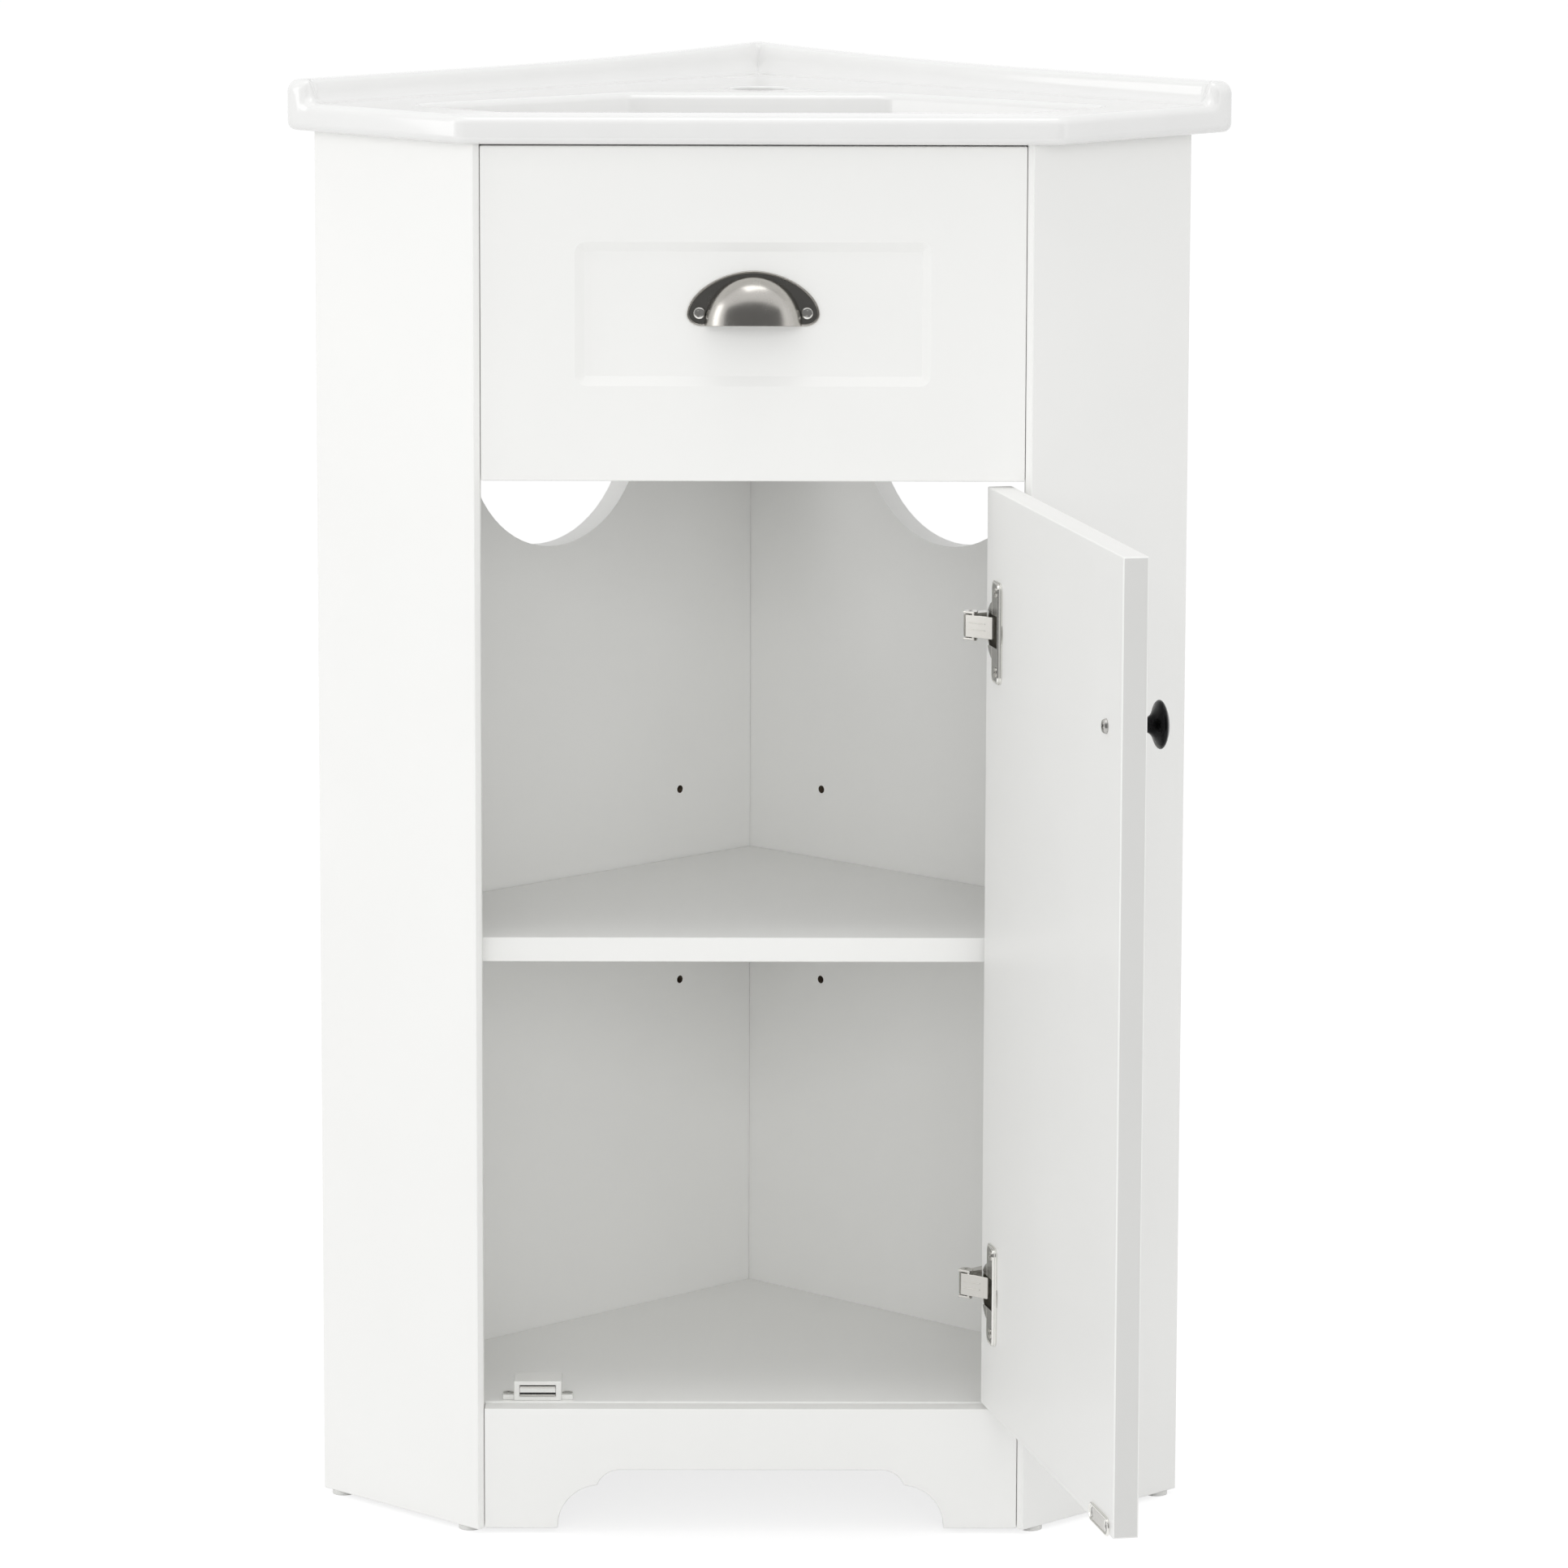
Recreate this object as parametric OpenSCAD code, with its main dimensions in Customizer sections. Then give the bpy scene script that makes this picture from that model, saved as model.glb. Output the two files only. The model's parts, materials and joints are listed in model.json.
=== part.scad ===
// Corner vanity unit: five-sided cabinet for a room corner, ceramic basin on top, one door below.
// Plan: +X to the right, +Y into the corner, +Z up. The front panels face -Y.

/* [Cabinet] */
// Thickness of every board
board_t = 15; // [12:1:18]
// Half of the front width, measured at the front outer corners of the side panels
front_half = 166; // [140:1:200]
// How far each side panel runs outwards, and as far backwards, at 45 degrees
side_run = 99; // [80:1:130]
// Top of the boards above the floor
cabinet_top = 847; // [780:1:900]
// Height of the floor glides under the boards
glide_h = 3; // [2:0.5:6]
// Width of the square nose left on the front edge of a side panel, seen from the front
nose_w = 3.7; // [2:0.1:6]
// Top face of the floor board
floor_top = 78.7; // [70:0.1:100]
// Gap left beside the fixed fronts
front_fit = 0.3; // [0.1:0.1:1]

/* [Fixed fronts] */
// Lower edge of the fixed drawer front
drawer_front_low = 646; // [620:1:680]
// Gap between the drawer front and the basin rim
drawer_front_gap = 1.5; // [1:0.5:4]
// Width of the sunk panel in the drawer front
recess_w = 212; // [160:1:260]
// Height of the sunk panel in the drawer front
recess_h = 86; // [60:1:120]
// Depth of the sunk panel
recess_depth = 3; // [2:0.5:5]
// Width of the slope round the sunk panel
recess_slope = 6; // [3:0.5:10]
// Top of the plinth board
plinth_top = 77.9; // [70:0.1:100]
// Half width of the flat top of the plinth's arch
arch_half = 79.5; // [60:0.5:90]
// Height of the flat top of the plinth's arch above the floor
arch_top = 39.5; // [30:0.5:50]
// Radius of the upper round of the arch
arch_upper_r = 15; // [10:0.5:20]
// Radius of the lower round of the arch
arch_lower_r = 26; // [20:0.5:26]
// Sideways step from the upper to the lower round's centre
arch_step = 12; // [8:0.5:16]

/* [Door] */
// Width of the door
door_w = 318; // [300:1:320]
// Lower edge of the door
door_low = 80.5; // [80:0.5:90]
// Upper edge of the door
door_high = 642.5; // [600:0.5:644]
// How far the door stands open
open_angle = 101.7; // [0:0.1:105]
// Swing centre of the door, inwards from its hinge edge
swing_in = 6; // [5:0.5:8]
// Swing centre of the door, behind its front face
swing_deep = 3; // [2:0.5:5]
// Upper hinge, down from the door's top edge
hinge_from_top = 84; // [60:1:120]
// Lower hinge, up from the door's bottom edge
hinge_from_bottom = 74; // [60:1:120]
// Knob, down from the door's top edge
knob_from_top = 100; // [60:1:200]
// Knob, in from the door's free edge
knob_from_edge = 33; // [25:1:60]
// Diameter of the knob
knob_d = 26.4; // [20:0.2:34]
// How far the knob stands out
knob_h = 19; // [15:0.5:26]

/* [Inside] */
// Lower face of the shelf
shelf_low = 351.1; // [348:0.1:354]
// Front edge of the shelf behind the cabinet's front corners
shelf_front = 22.5; // [21:0.5:40]
// Pitch of the shelf-pin holes
pin_pitch = 62; // [32:1:80]
// Diameter of the shelf pins
pin_d = 5; // [4:0.5:7]
// Diameter of the pipe cut-out in each back panel
cutout_d = 150; // [100:1:160]
// Height of the cut-outs' centre
cutout_z = 653; // [600:1:700]
// Distance of the cut-outs' centre from the inner back corner
cutout_along = 173; // [150:1:190]

/* [Basin] */
// Half of the basin's front edge
basin_front_half = 178.4; // [160:0.2:200]
// Half of the basin's whole width
basin_half = 289; // [270:0.5:300]
// How far the basin's front stands before the cabinet's front corners
basin_overhang = 9.5; // [5:0.5:20]
// How far the basin sits off the cabinet's centre
basin_shift = 4; // [0:0.5:10]
// Thickness of the basin's rim
rim_t = 17; // [14:0.5:22]
// Height of the splash wall above the deck
splash_h = 14; // [10:0.5:30]
// Thickness of the splash wall
splash_t = 20; // [12:0.5:24]
// Depth of the bowl below the deck
bowl_depth = 112; // [90:1:120]
// Diameter of the tap hole
tap_d = 35; // [32:1:38]
// Diameter of the waste hole
waste_d = 46; // [42:1:48]

/* [Pull] */
// Width of the cup pull's plate
pull_plate_w = 79; // [70:1:100]
// Radius of the cup pull's dome
pull_dome_r = 28.8; // [24:0.2:34]
// How far the dome stands out
pull_out = 21; // [16:0.5:28]
// Distance between the pull's two screws
pull_screw_pitch = 64; // [60:1:80]
// Lower edge of the pull above the floor
pull_low = 738; // [720:1:760]

/* [Hidden] */
$fn = 48;

white_board = "#ececec";
ceramic_white = "#f6f6f4";
steel_bright = "#b9bbbd";
steel_dark = "#3a3a3c";
beech = "#d6b98a";

// cabinet plan
skew = board_t / sqrt(2);
front_y = nose_w;
back_y = front_y + board_t;
jamb = front_half - nose_w;
inner_line = front_half - 2 * skew;
outer_wall = front_half + 2 * side_run;
inner_wall = outer_wall - 2 * skew;
start_x = (outer_wall + inner_line) / 2;
start_in_x = (inner_wall + inner_line) / 2;
board_low = glide_h;
floor_low = floor_top - board_t;
shelf_high = shelf_low + board_t;
drawer_front_high = cabinet_top - drawer_front_gap;
pull_x = pull_screw_pitch / 2;

// door
door_edge = door_w / 2;
swing_x = door_edge - swing_in;
swing_y = front_y + swing_deep;
upper_hinge_z = door_high - hinge_from_top;
lower_hinge_z = door_low + hinge_from_bottom;
knob_x = -door_edge + knob_from_edge;
knob_z = door_high - knob_from_top;

// joinery
cam_z = [130, 420, 800];
cam_in = 24;
cam_r = 7.5;
cam_deep = 12.5;
bolt_r = 3;
corner_screw_z = [60, 300, 560, 810];
corner_screw_l = 50;
dowel_r = 4;
dowel_side_u = [25, 105];
dowel_back_s = [70, 270];
pin_side_u = 45;
pin_back_s = 64;
pin_l = 16;
pin_z = shelf_low - pin_d / 2;
block_screw_x = jamb - 12;
glide_u = [15, 130];
glide_s = 30;
glide_pin_r = 1;
glide_pin_h = 10;
block_h = 22;
block_leg = 24;
block_back = 17;
block_z = [48, 668, 764];

// magnetic catch and its plate
catch_x = -130;
catch_w = 29;
catch_d = 22;
catch_h = 12;
catch_ear = 7;
bar_w = 22;
bar_d = 16;
catch_front = back_y + 2.1;
pole_t = 1.4;
pole_out = 0.5;
magnet_h = 4;
magnet_in = 0.5;
magnet_z = floor_top + catch_h / 2;
strike_x = catch_x;
strike_z = magnet_z;
strike_l = 44;
strike_h = 11;
strike_t = 1.2;
strike_screw_dx = 16;

// pull
pull_face = front_y + recess_depth;
pull_plate_t = 1.6;
pull_plate_low = 7.7;
pull_plate_up = 25.9;
pull_end = 9.1;
pull_skin = 1.4;
pull_screw_z = pull_low + 8.4;

// hinge
cup_in = 22.5;
cup_x = door_edge - cup_in;
cup_r = 17.5;
cup_depth = 11.5;
cup_wall = 0.7;
flange_t = 1.2;
flange_l = 61;
flange_w = 22;
flange_round = 5;
flange_in = 6;
cup_lip = 0.5;
mouth_in = 13;
cup_screw_dz = 24;
nose_pin = [130.5, 15];
cup_pin_r = 8;
link_half = 8.5;
link_cheek_in = 7.2;
tongue_half = 4.5;
arm_half = 7;
arm_skin = 1.3;
pin_r = 1.2;
pin_play = 0.05;
nose_u = (nose_pin[0] - front_half + skew + nose_pin[1] - skew) / sqrt(2);
nose_n = (nose_pin[1] - skew - nose_pin[0] + front_half - skew) / sqrt(2);
base_u = 46;
base_screw_dz = 19;
arm_screw_u = [30, 56];
// the link points from the arm's nose to where the cup's own pin stands when the door is open
nose_side = atan2(nose_pin[1] - swing_y, nose_pin[0] - swing_x) + open_angle / 2;
cup_pin = [swing_x + cup_pin_r * cos(nose_side), swing_y + cup_pin_r * sin(nose_side)];
link_rest = atan2(cup_pin[1] - nose_pin[1], cup_pin[0] - nose_pin[0]);

// basin
basin_low = cabinet_top;
deck_z = basin_low + rim_t;
splash_z = deck_z + splash_h;
basin_side = basin_front_half + basin_overhang;
basin_wall = 2 * basin_half - basin_side;
tap_y = 222;
waste_y = 98;
bowl_floor = deck_z - bowl_depth;
bowl_t = 10;
deck_t = 10;
pocket_in = 34;

// place of the part's frame: middle of the rest pose, on the floor
end_round = 6;
open_y = swing_y + (swing_in - door_w) * sin(open_angle) + (board_t - swing_deep) * cos(open_angle);
corner_y = basin_wall - end_round * (sqrt(2) - 1);
frame_x = basin_shift;
frame_y = (corner_y + open_y) / 2;

module place() {
  translate([-frame_x, -frame_y, 0]) children();
}

module both_sides() {
  children();
  mirror([1, 0, 0]) children();
}

// frame on the right side panel's inner face: x along the panel to the back, y into the cabinet
module on_side(u, z) {
  translate([front_half - skew + u / sqrt(2), skew + u / sqrt(2), z]) rotate(45) children();
}

// frame on the right back panel's inner face: x away from the corner, y out to the wall
module on_back(s, z) {
  translate([s / sqrt(2), inner_wall - s / sqrt(2), z]) rotate(-45) children();
}

// turns what is drawn on the closed door to where the open door stands
module swung() {
  translate([swing_x, swing_y, 0]) rotate(open_angle) translate([-swing_x, -swing_y, 0]) children();
}

// a corner point of an outline, cut back by a round of radius r
function unit(v) = v / norm(v);
function corner_arc(a, b, c, r, n = 5) =
  let (p = unit(a - b), q = unit(c - b), half = acos(p * q) / 2)
  let (centre = b + unit(p + q) * r / sin(half))
  let (start = b + p * r / tan(half) - centre, stop = b + q * r / tan(half) - centre)
  [for (i = [0 : n]) centre + r * unit(start * (1 - i / n) + stop * i / n)];
function rounded(points, r) =
  let (n = len(points))
  [for (i = [0 : n - 1]) each corner_arc(points[(i + n - 1) % n], points[i], points[(i + 1) % n], r)];

// ---- fittings holes shared by boards and hardware ----

module cam_places() {
  for (z = cam_z)
    translate([(outer_wall - skew + inner_line) / 2, (outer_wall - skew - inner_line) / 2, z])
      rotate(135) children();
}

// the bore for a lock runs out of the panel's wall side by the given amount
module cam_lock_solids(out = 0) {
  cam_places() translate([cam_in, -board_t / 2 - out, 0]) rotate([-90, 0, 0])
    cylinder(r = cam_r, h = cam_deep + out);
}

module cam_bolt_solids() {
  cam_places() translate([cam_in - cam_r, 0, 0]) rotate([0, -90, 0])
    cylinder(r = bolt_r, h = cam_in - cam_r + 10);
}

module corner_screw_solids() {
  for (z = corner_screw_z) on_back(-board_t / 2, z) translate([0, board_t, 0]) {
    rotate([90, 0, 0]) cylinder(r = 2.5, h = corner_screw_l);
    rotate([90, 0, 0]) cylinder(r = 4.5, h = 3);
  }
}

module dowel_solids() {
  z = floor_low + board_t / 2;
  both_sides() {
    for (u = dowel_side_u) on_side(u, z) rotate([90, 0, 0]) translate([0, 0, -20])
      cylinder(r = dowel_r, h = 30);
    for (s = dowel_back_s) on_back(s, z) rotate([90, 0, 0]) translate([0, 0, -10])
      cylinder(r = dowel_r, h = 30);
  }
}

module pin_holes() {
  for (row = [-1 : 1]) both_sides() {
    on_side(pin_side_u, pin_z + row * pin_pitch) rotate([90, 0, 0]) cylinder(d = pin_d, h = pin_l / 2);
    on_back(pin_back_s, pin_z + row * pin_pitch) rotate([-90, 0, 0]) cylinder(d = pin_d, h = pin_l / 2);
  }
}

module glide_places() {
  both_sides() {
    for (u = glide_u) on_side(u, board_low) translate([0, -board_t / 2, 0]) children();
    on_back(glide_s, board_low) translate([0, board_t / 2, 0]) children();
  }
}

module glide_pin_holes() {
  glide_places() cylinder(r = glide_pin_r, h = glide_pin_h);
}

// ---- boards ----

module upright(outline) {
  translate([0, 0, board_low]) linear_extrude(cabinet_top - board_low) polygon(outline);
}

module side_board() {
  upright([
    [front_half, 0],
    [front_half + side_run, side_run],
    [front_half + side_run - skew, side_run + skew],
    [jamb, jamb - inner_line],
    [jamb, nose_w]
  ]);
}

module right_side_panel() {
  color(white_board) place() difference() {
    side_board();
    pin_holes();
    cam_bolt_solids();
    dowel_solids();
    plate_screw_holes();
    glide_pin_holes();
  }
}

module left_side_panel() {
  color(white_board) place() difference() {
    mirror([1, 0, 0]) side_board();
    pin_holes();
    mirror([1, 0, 0]) cam_bolt_solids();
    dowel_solids();
    glide_pin_holes();
  }
}

module back_cuts() {
  on_back(cutout_along, cutout_z) rotate([-90, 0, 0]) translate([0, 0, -1])
    cylinder(d = cutout_d, h = board_t + 2, $fn = 96);
  cam_lock_solids(1);
  cam_bolt_solids();
}

module right_back_panel() {
  color(white_board) place() difference() {
    upright([
      [start_x, outer_wall - start_x],
      [0, outer_wall],
      [-skew, outer_wall - skew],
      [start_in_x, inner_wall - start_in_x]
    ]);
    back_cuts();
    pin_holes();
    dowel_solids();
    corner_screw_solids();
    glide_pin_holes();
  }
}

module left_back_panel() {
  color(white_board) place() difference() {
    upright([
      [-start_x, outer_wall - start_x],
      [-start_in_x, inner_wall - start_in_x],
      [0, inner_wall],
      [-skew, outer_wall - skew]
    ]);
    mirror([1, 0, 0]) back_cuts();
    pin_holes();
    dowel_solids();
    corner_screw_solids();
    glide_pin_holes();
  }
}

// five-sided board inside the cabinet, from front to the back corner, with a gap to the walls
module inner_board(front, gap) {
  side = inner_line - gap * sqrt(2);
  wall = inner_wall - gap * sqrt(2);
  linear_extrude(board_t) polygon([
    [-side - front, front],
    [side + front, front],
    [(wall + side) / 2, (wall - side) / 2],
    [0, wall],
    [-(wall + side) / 2, (wall - side) / 2]
  ]);
}

module floor_panel() {
  color(white_board) place() difference() {
    translate([0, 0, floor_low]) inner_board(back_y, 0);
    dowel_solids();
    catch_screw_solids();
  }
}

module shelf() {
  color(white_board) place() translate([0, 0, shelf_low]) inner_board(shelf_front, 0.5);
}

module shelf_pins() {
  color(steel_bright) place() both_sides() {
    on_side(pin_side_u, pin_z) rotate([90, 0, 0]) translate([0, 0, -pin_l / 2])
      cylinder(d = pin_d, h = pin_l);
    on_back(pin_back_s, pin_z) rotate([90, 0, 0]) translate([0, 0, -pin_l / 2])
      cylinder(d = pin_d, h = pin_l);
  }
}

module front_board(low, high) {
  half = jamb - front_fit;
  translate([-half, front_y, low]) cube([2 * half, board_t, high - low]);
}

module drawer_front() {
  mid_z = (drawer_front_low + drawer_front_high) / 2;
  color(white_board) place() difference() {
    front_board(drawer_front_low, drawer_front_high);
    hull() {
      translate([-recess_w / 2, front_y - 1, mid_z - recess_h / 2]) cube([recess_w, 1, recess_h]);
      translate([-recess_w / 2 + recess_slope, front_y, mid_z - recess_h / 2 + recess_slope])
        cube([recess_w - 2 * recess_slope, recess_depth, recess_h - 2 * recess_slope]);
    }
    pull_screw_solids();
    block_screw_solids();
  }
}

module arch_outline() {
  lower_x = arch_half + arch_step;
  lower_top = board_low + 1 + arch_lower_r;
  for (side = [-1, 1]) {
    translate([side * arch_half, arch_top - arch_upper_r]) circle(r = arch_upper_r);
    translate([side * lower_x, board_low + 1]) circle(r = arch_lower_r);
  }
  translate([-arch_half, 0]) square([2 * arch_half, arch_top]);
  translate([-lower_x, 0]) square([2 * lower_x, lower_top]);
}

module plinth() {
  color(white_board) place() difference() {
    front_board(board_low, plinth_top);
    translate([0, back_y + 1, 0]) rotate([90, 0, 0]) linear_extrude(board_t + 2) arch_outline();
    block_screw_solids();
  }
}

// ---- corner blocks that hold the fixed fronts ----

module block_outline() {
  corner_x = inner_line + back_y;
  polygon([
    [corner_x - block_leg, back_y],
    [corner_x, back_y],
    [corner_x + block_back, back_y + block_back],
    [corner_x - 2, back_y + block_back]
  ]);
}

module block_screw_solids() {
  both_sides() for (z = block_z) {
    translate([block_screw_x, back_y, z]) rotate([90, 0, 0]) cylinder(r = 1.75, h = 10);
    translate([block_screw_x, back_y, z]) rotate([-90, 0, 0]) cylinder(r = 1.75, h = block_back);
    translate([block_screw_x, back_y + 8, z]) rotate([-90, 0, 0]) cylinder(r = 3.5, h = 3);
  }
}

module corner_blocks() {
  color("white") place() difference() {
    both_sides() for (z = block_z)
      translate([0, 0, z - block_h / 2]) linear_extrude(block_h) block_outline();
    both_sides() for (z = block_z) {
      translate([block_screw_x, back_y - 1, z]) rotate([-90, 0, 0])
        cylinder(r = 1.75, h = block_back + 2);
      translate([block_screw_x, back_y + 8, z]) rotate([-90, 0, 0]) cylinder(r = 3.5, h = block_back);
    }
  }
}

module block_screws() {
  color(steel_bright) place() both_sides() for (z = block_z) {
    translate([block_screw_x, back_y - 10, z]) rotate([-90, 0, 0]) cylinder(r = 1.75, h = 18);
    translate([block_screw_x, back_y + 8, z]) rotate([-90, 0, 0]) cylinder(r = 3.5, h = 2.5);
  }
}

// ---- joinery ----

module cam_locks() {
  color(steel_bright) place() both_sides() cam_lock_solids();
}

module cam_bolts() {
  color(steel_bright) place() both_sides() cam_bolt_solids();
}

module corner_screws() {
  color(steel_bright) place() corner_screw_solids();
}

module dowels() {
  color(beech) place() dowel_solids();
}

module floor_glides() {
  color("white") place() glide_places() {
    translate([0, 0, -glide_h]) cylinder(r = 7, h = glide_h);
    cylinder(r = glide_pin_r, h = glide_pin_h);
  }
}

// ---- magnetic catch on the floor board ----

// bar in the catch's slot, standing out of its front by the given amount
module catch_bar(h, z, out) {
  translate([catch_x - bar_w / 2, catch_front - out, z]) cube([bar_w, bar_d + out, h]);
}

module catch_pole_solids() {
  catch_bar(pole_t, magnet_z + magnet_h / 2, pole_out);
  catch_bar(pole_t, magnet_z - magnet_h / 2 - pole_t, pole_out);
}

module catch_screw_solids() {
  for (side = [-1, 1])
    translate([catch_x + side * (catch_w + catch_ear) / 2, catch_front + 8, floor_top]) {
    translate([0, 0, -10]) cylinder(r = 1.5, h = 13);
    translate([0, 0, 3]) cylinder(r = 3, h = 1.6);
  }
}

module catch_body() {
  color("white") place() difference() {
    union() {
      translate([catch_x - catch_w / 2, catch_front, floor_top]) cube([catch_w, catch_d, catch_h]);
      translate([catch_x - catch_w / 2 - catch_ear, catch_front + 2, floor_top])
        cube([catch_w + 2 * catch_ear, 12, 3]);
    }
    catch_bar(magnet_h + 2 * pole_t, magnet_z - magnet_h / 2 - pole_t, 1);
    catch_screw_solids();
  }
}

module catch_poles() {
  color(steel_dark) place() catch_pole_solids();
}

module catch_magnet() {
  color("#2a2a2c") place() catch_bar(magnet_h, magnet_z - magnet_h / 2, -magnet_in);
}

module catch_screws() {
  color(steel_bright) place() catch_screw_solids();
}

// ---- cup pull ----

module pull_screw_solids() {
  both_sides() translate([pull_x, pull_face - pull_plate_t, pull_screw_z]) {
    rotate([-90, 0, 0]) cylinder(r = 1.8, h = 12);
    rotate([90, 0, 0]) cylinder(r = 3.5, h = 1.2);
  }
}

// right side of the plate's outline: an oval above, a tighter round at the lower end
function plate_side() = concat(
  [for (a = [90 : -6 : 0]) [pull_plate_w / 2 * cos(a), pull_plate_low + pull_plate_up * sin(a)]],
  [for (a = [15 : 15 : 90])
    [pull_plate_w / 2 - pull_end * (1 - cos(a)), pull_plate_low * (1 - sin(a))]]
);

module pull_plate_outline() {
  both_sides() polygon(concat([[-1, 0], [-1, pull_plate_low + pull_plate_up]], plate_side()));
}

// quarter of an oval, from the outer rim to the crown
function quarter(r, h) = [for (a = [0 : 7.5 : 90]) [r * cos(a), h * sin(a)]];

module pull_dome(r, h) {
  rotate([90, 0, 0]) rotate_extrude($fn = 72) polygon(concat([[0, 0]], quarter(r, h)));
}

module cup_pull() {
  color(steel_bright) place() translate([0, pull_face, pull_low]) difference() {
    union() {
      rotate([90, 0, 0]) linear_extrude(pull_plate_t) pull_plate_outline();
      translate([0, -0.01, 0.6]) pull_dome(pull_dome_r, pull_out);
    }
    translate([0, 1, 0.6]) pull_dome(pull_dome_r - pull_skin, pull_out - pull_skin + 1);
    translate([-50, -50, -50]) cube([100, 100, 50]);
    for (side = [-1, 1]) translate([side * pull_x, 1, pull_screw_z - pull_low]) rotate([90, 0, 0])
      cylinder(r = 1.8, h = 4);
  }
}

module pull_screws() {
  color(steel_bright) place() pull_screw_solids();
}

// ---- door and what it carries, drawn closed ----

module door() {
  color(white_board) place() swung() difference() {
    translate([-door_edge, front_y, door_low]) cube([door_w, board_t, door_high - door_low]);
    for (z = [upper_hinge_z, lower_hinge_z]) {
      translate([cup_x, back_y - cup_depth, z]) rotate([-90, 0, 0])
        cylinder(r = cup_r, h = cup_depth + 1);
      for (dz = [-cup_screw_dz, cup_screw_dz])
        translate([cup_x - flange_in, back_y - 9, z + dz]) rotate([-90, 0, 0])
          cylinder(r = 1.75, h = 10);
    }
    translate([knob_x, front_y - 1, knob_z]) rotate([-90, 0, 0]) cylinder(r = 2, h = board_t + 2);
    strike_screw_solids();
  }
}

module door_knob() {
  r = knob_d / 2;
  color(steel_dark) place() swung() translate([knob_x, front_y, knob_z]) rotate([90, 0, 0])
    difference() {
      rotate_extrude($fn = 72) polygon(concat(
        [[0, 0], [7, 0], [7, 1.5]],
        [for (a = [0 : 15 : 90]) [7 + (r - 7.4) * (1 - cos(a)), 1.5 + (knob_h * 0.7 - 2) * sin(a)]],
        [for (a = [0 : 10 : 90]) [r * cos(a), knob_h * (0.74 + 0.26 * sin(a))]]
      ));
      translate([0, 0, -1]) cylinder(r = 2, h = 10);
    }
}

module knob_screw() {
  color(steel_bright) place() swung() translate([knob_x, back_y, knob_z]) {
    rotate([90, 0, 0]) cylinder(r = 2, h = board_t + 8);
    rotate([-90, 0, 0]) cylinder(r = 4.3, h = 2.4);
  }
}

module strike_screw_solids() {
  for (side = [-1, 1]) translate([strike_x + side * strike_screw_dx, back_y, strike_z])
    rotate([90, 0, 0]) cylinder(r = 1.5, h = 9);
}

// round-ended bar, length l and width w
function bar_points(l, w) = [for (side = [1, -1], a = [-90 : 15 : 90])
  [side * ((l - w) / 2 + w / 2 * cos(a)), side * w / 2 * sin(a)]];

module strike_plate() {
  color(steel_dark) place() swung() translate([strike_x, back_y + strike_t, strike_z]) difference() {
    rotate([90, 0, 0]) linear_extrude(strike_t) polygon(bar_points(strike_l, strike_h));
    for (side = [-1, 1]) translate([side * strike_screw_dx, 1, 0]) rotate([90, 0, 0])
      cylinder(r = 1.5, h = 4);
  }
}

module strike_screws() {
  color(steel_bright) place() swung() {
    strike_screw_solids();
    for (side = [-1, 1]) translate([strike_x + side * strike_screw_dx, back_y, strike_z]) {
      rotate([-90, 0, 0]) cylinder(r = 1.5, h = strike_t);
      translate([0, strike_t, 0]) rotate([-90, 0, 0]) cylinder(r = 2.8, h = 0.4);
    }
  }
}

// ---- concealed hinges ----

// the flange lies off the cup's centre, away from the door's hinged edge
function flange_points() =
  let (left = -flange_in - flange_w / 2, right = flange_w / 2 - flange_in, y = flange_l / 2)
  rounded([[right, -y], [right, y], [left, y], [left, -y]], flange_round);

module hinge_cup(z) {
  color(steel_bright) place() swung() translate([cup_x, back_y, z]) difference() {
    union() {
      rotate([90, 0, 0]) cylinder(r = cup_r, h = cup_depth);
      rotate([-90, 0, 0]) cylinder(r = cup_r + cup_lip, h = flange_t / 2);
      rotate([-90, 0, 0]) linear_extrude(flange_t) polygon(flange_points());
    }
    intersection() {
      translate([0, flange_t + 1, 0]) rotate([90, 0, 0])
        cylinder(r = cup_r - cup_wall, h = cup_depth + flange_t + 1 - cup_wall);
      translate([-mouth_in, -30, -30]) cube(60);
    }
    for (dz = [-cup_screw_dz, cup_screw_dz]) translate([-flange_in, -1, dz]) rotate([-90, 0, 0])
      cylinder(r = 1.75, h = 4);
  }
}

module upper_hinge_cup() {
  hinge_cup(upper_hinge_z);
}

module lower_hinge_cup() {
  hinge_cup(lower_hinge_z);
}

module cup_screws() {
  color(steel_bright) place() swung() for (z = [upper_hinge_z, lower_hinge_z], side = [-1, 1])
    translate([cup_x - flange_in, back_y, z + side * cup_screw_dz]) {
      translate([0, -9, 0]) rotate([-90, 0, 0]) cylinder(r = 1.75, h = 9 + flange_t);
      translate([0, flange_t, 0]) rotate([-90, 0, 0]) cylinder(r = 3.4, h = 1);
    }
}

// link drawn with its pin at the origin, its far end towards +x and its broad face towards -y
module link_outline() {
  circle(r = 3);
  polygon([[-3, 0], [-3, -3.2], [-2, -4.7], [10, -4.7], [10, -3.2], [4, 3], [0, 3]]);
}

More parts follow.
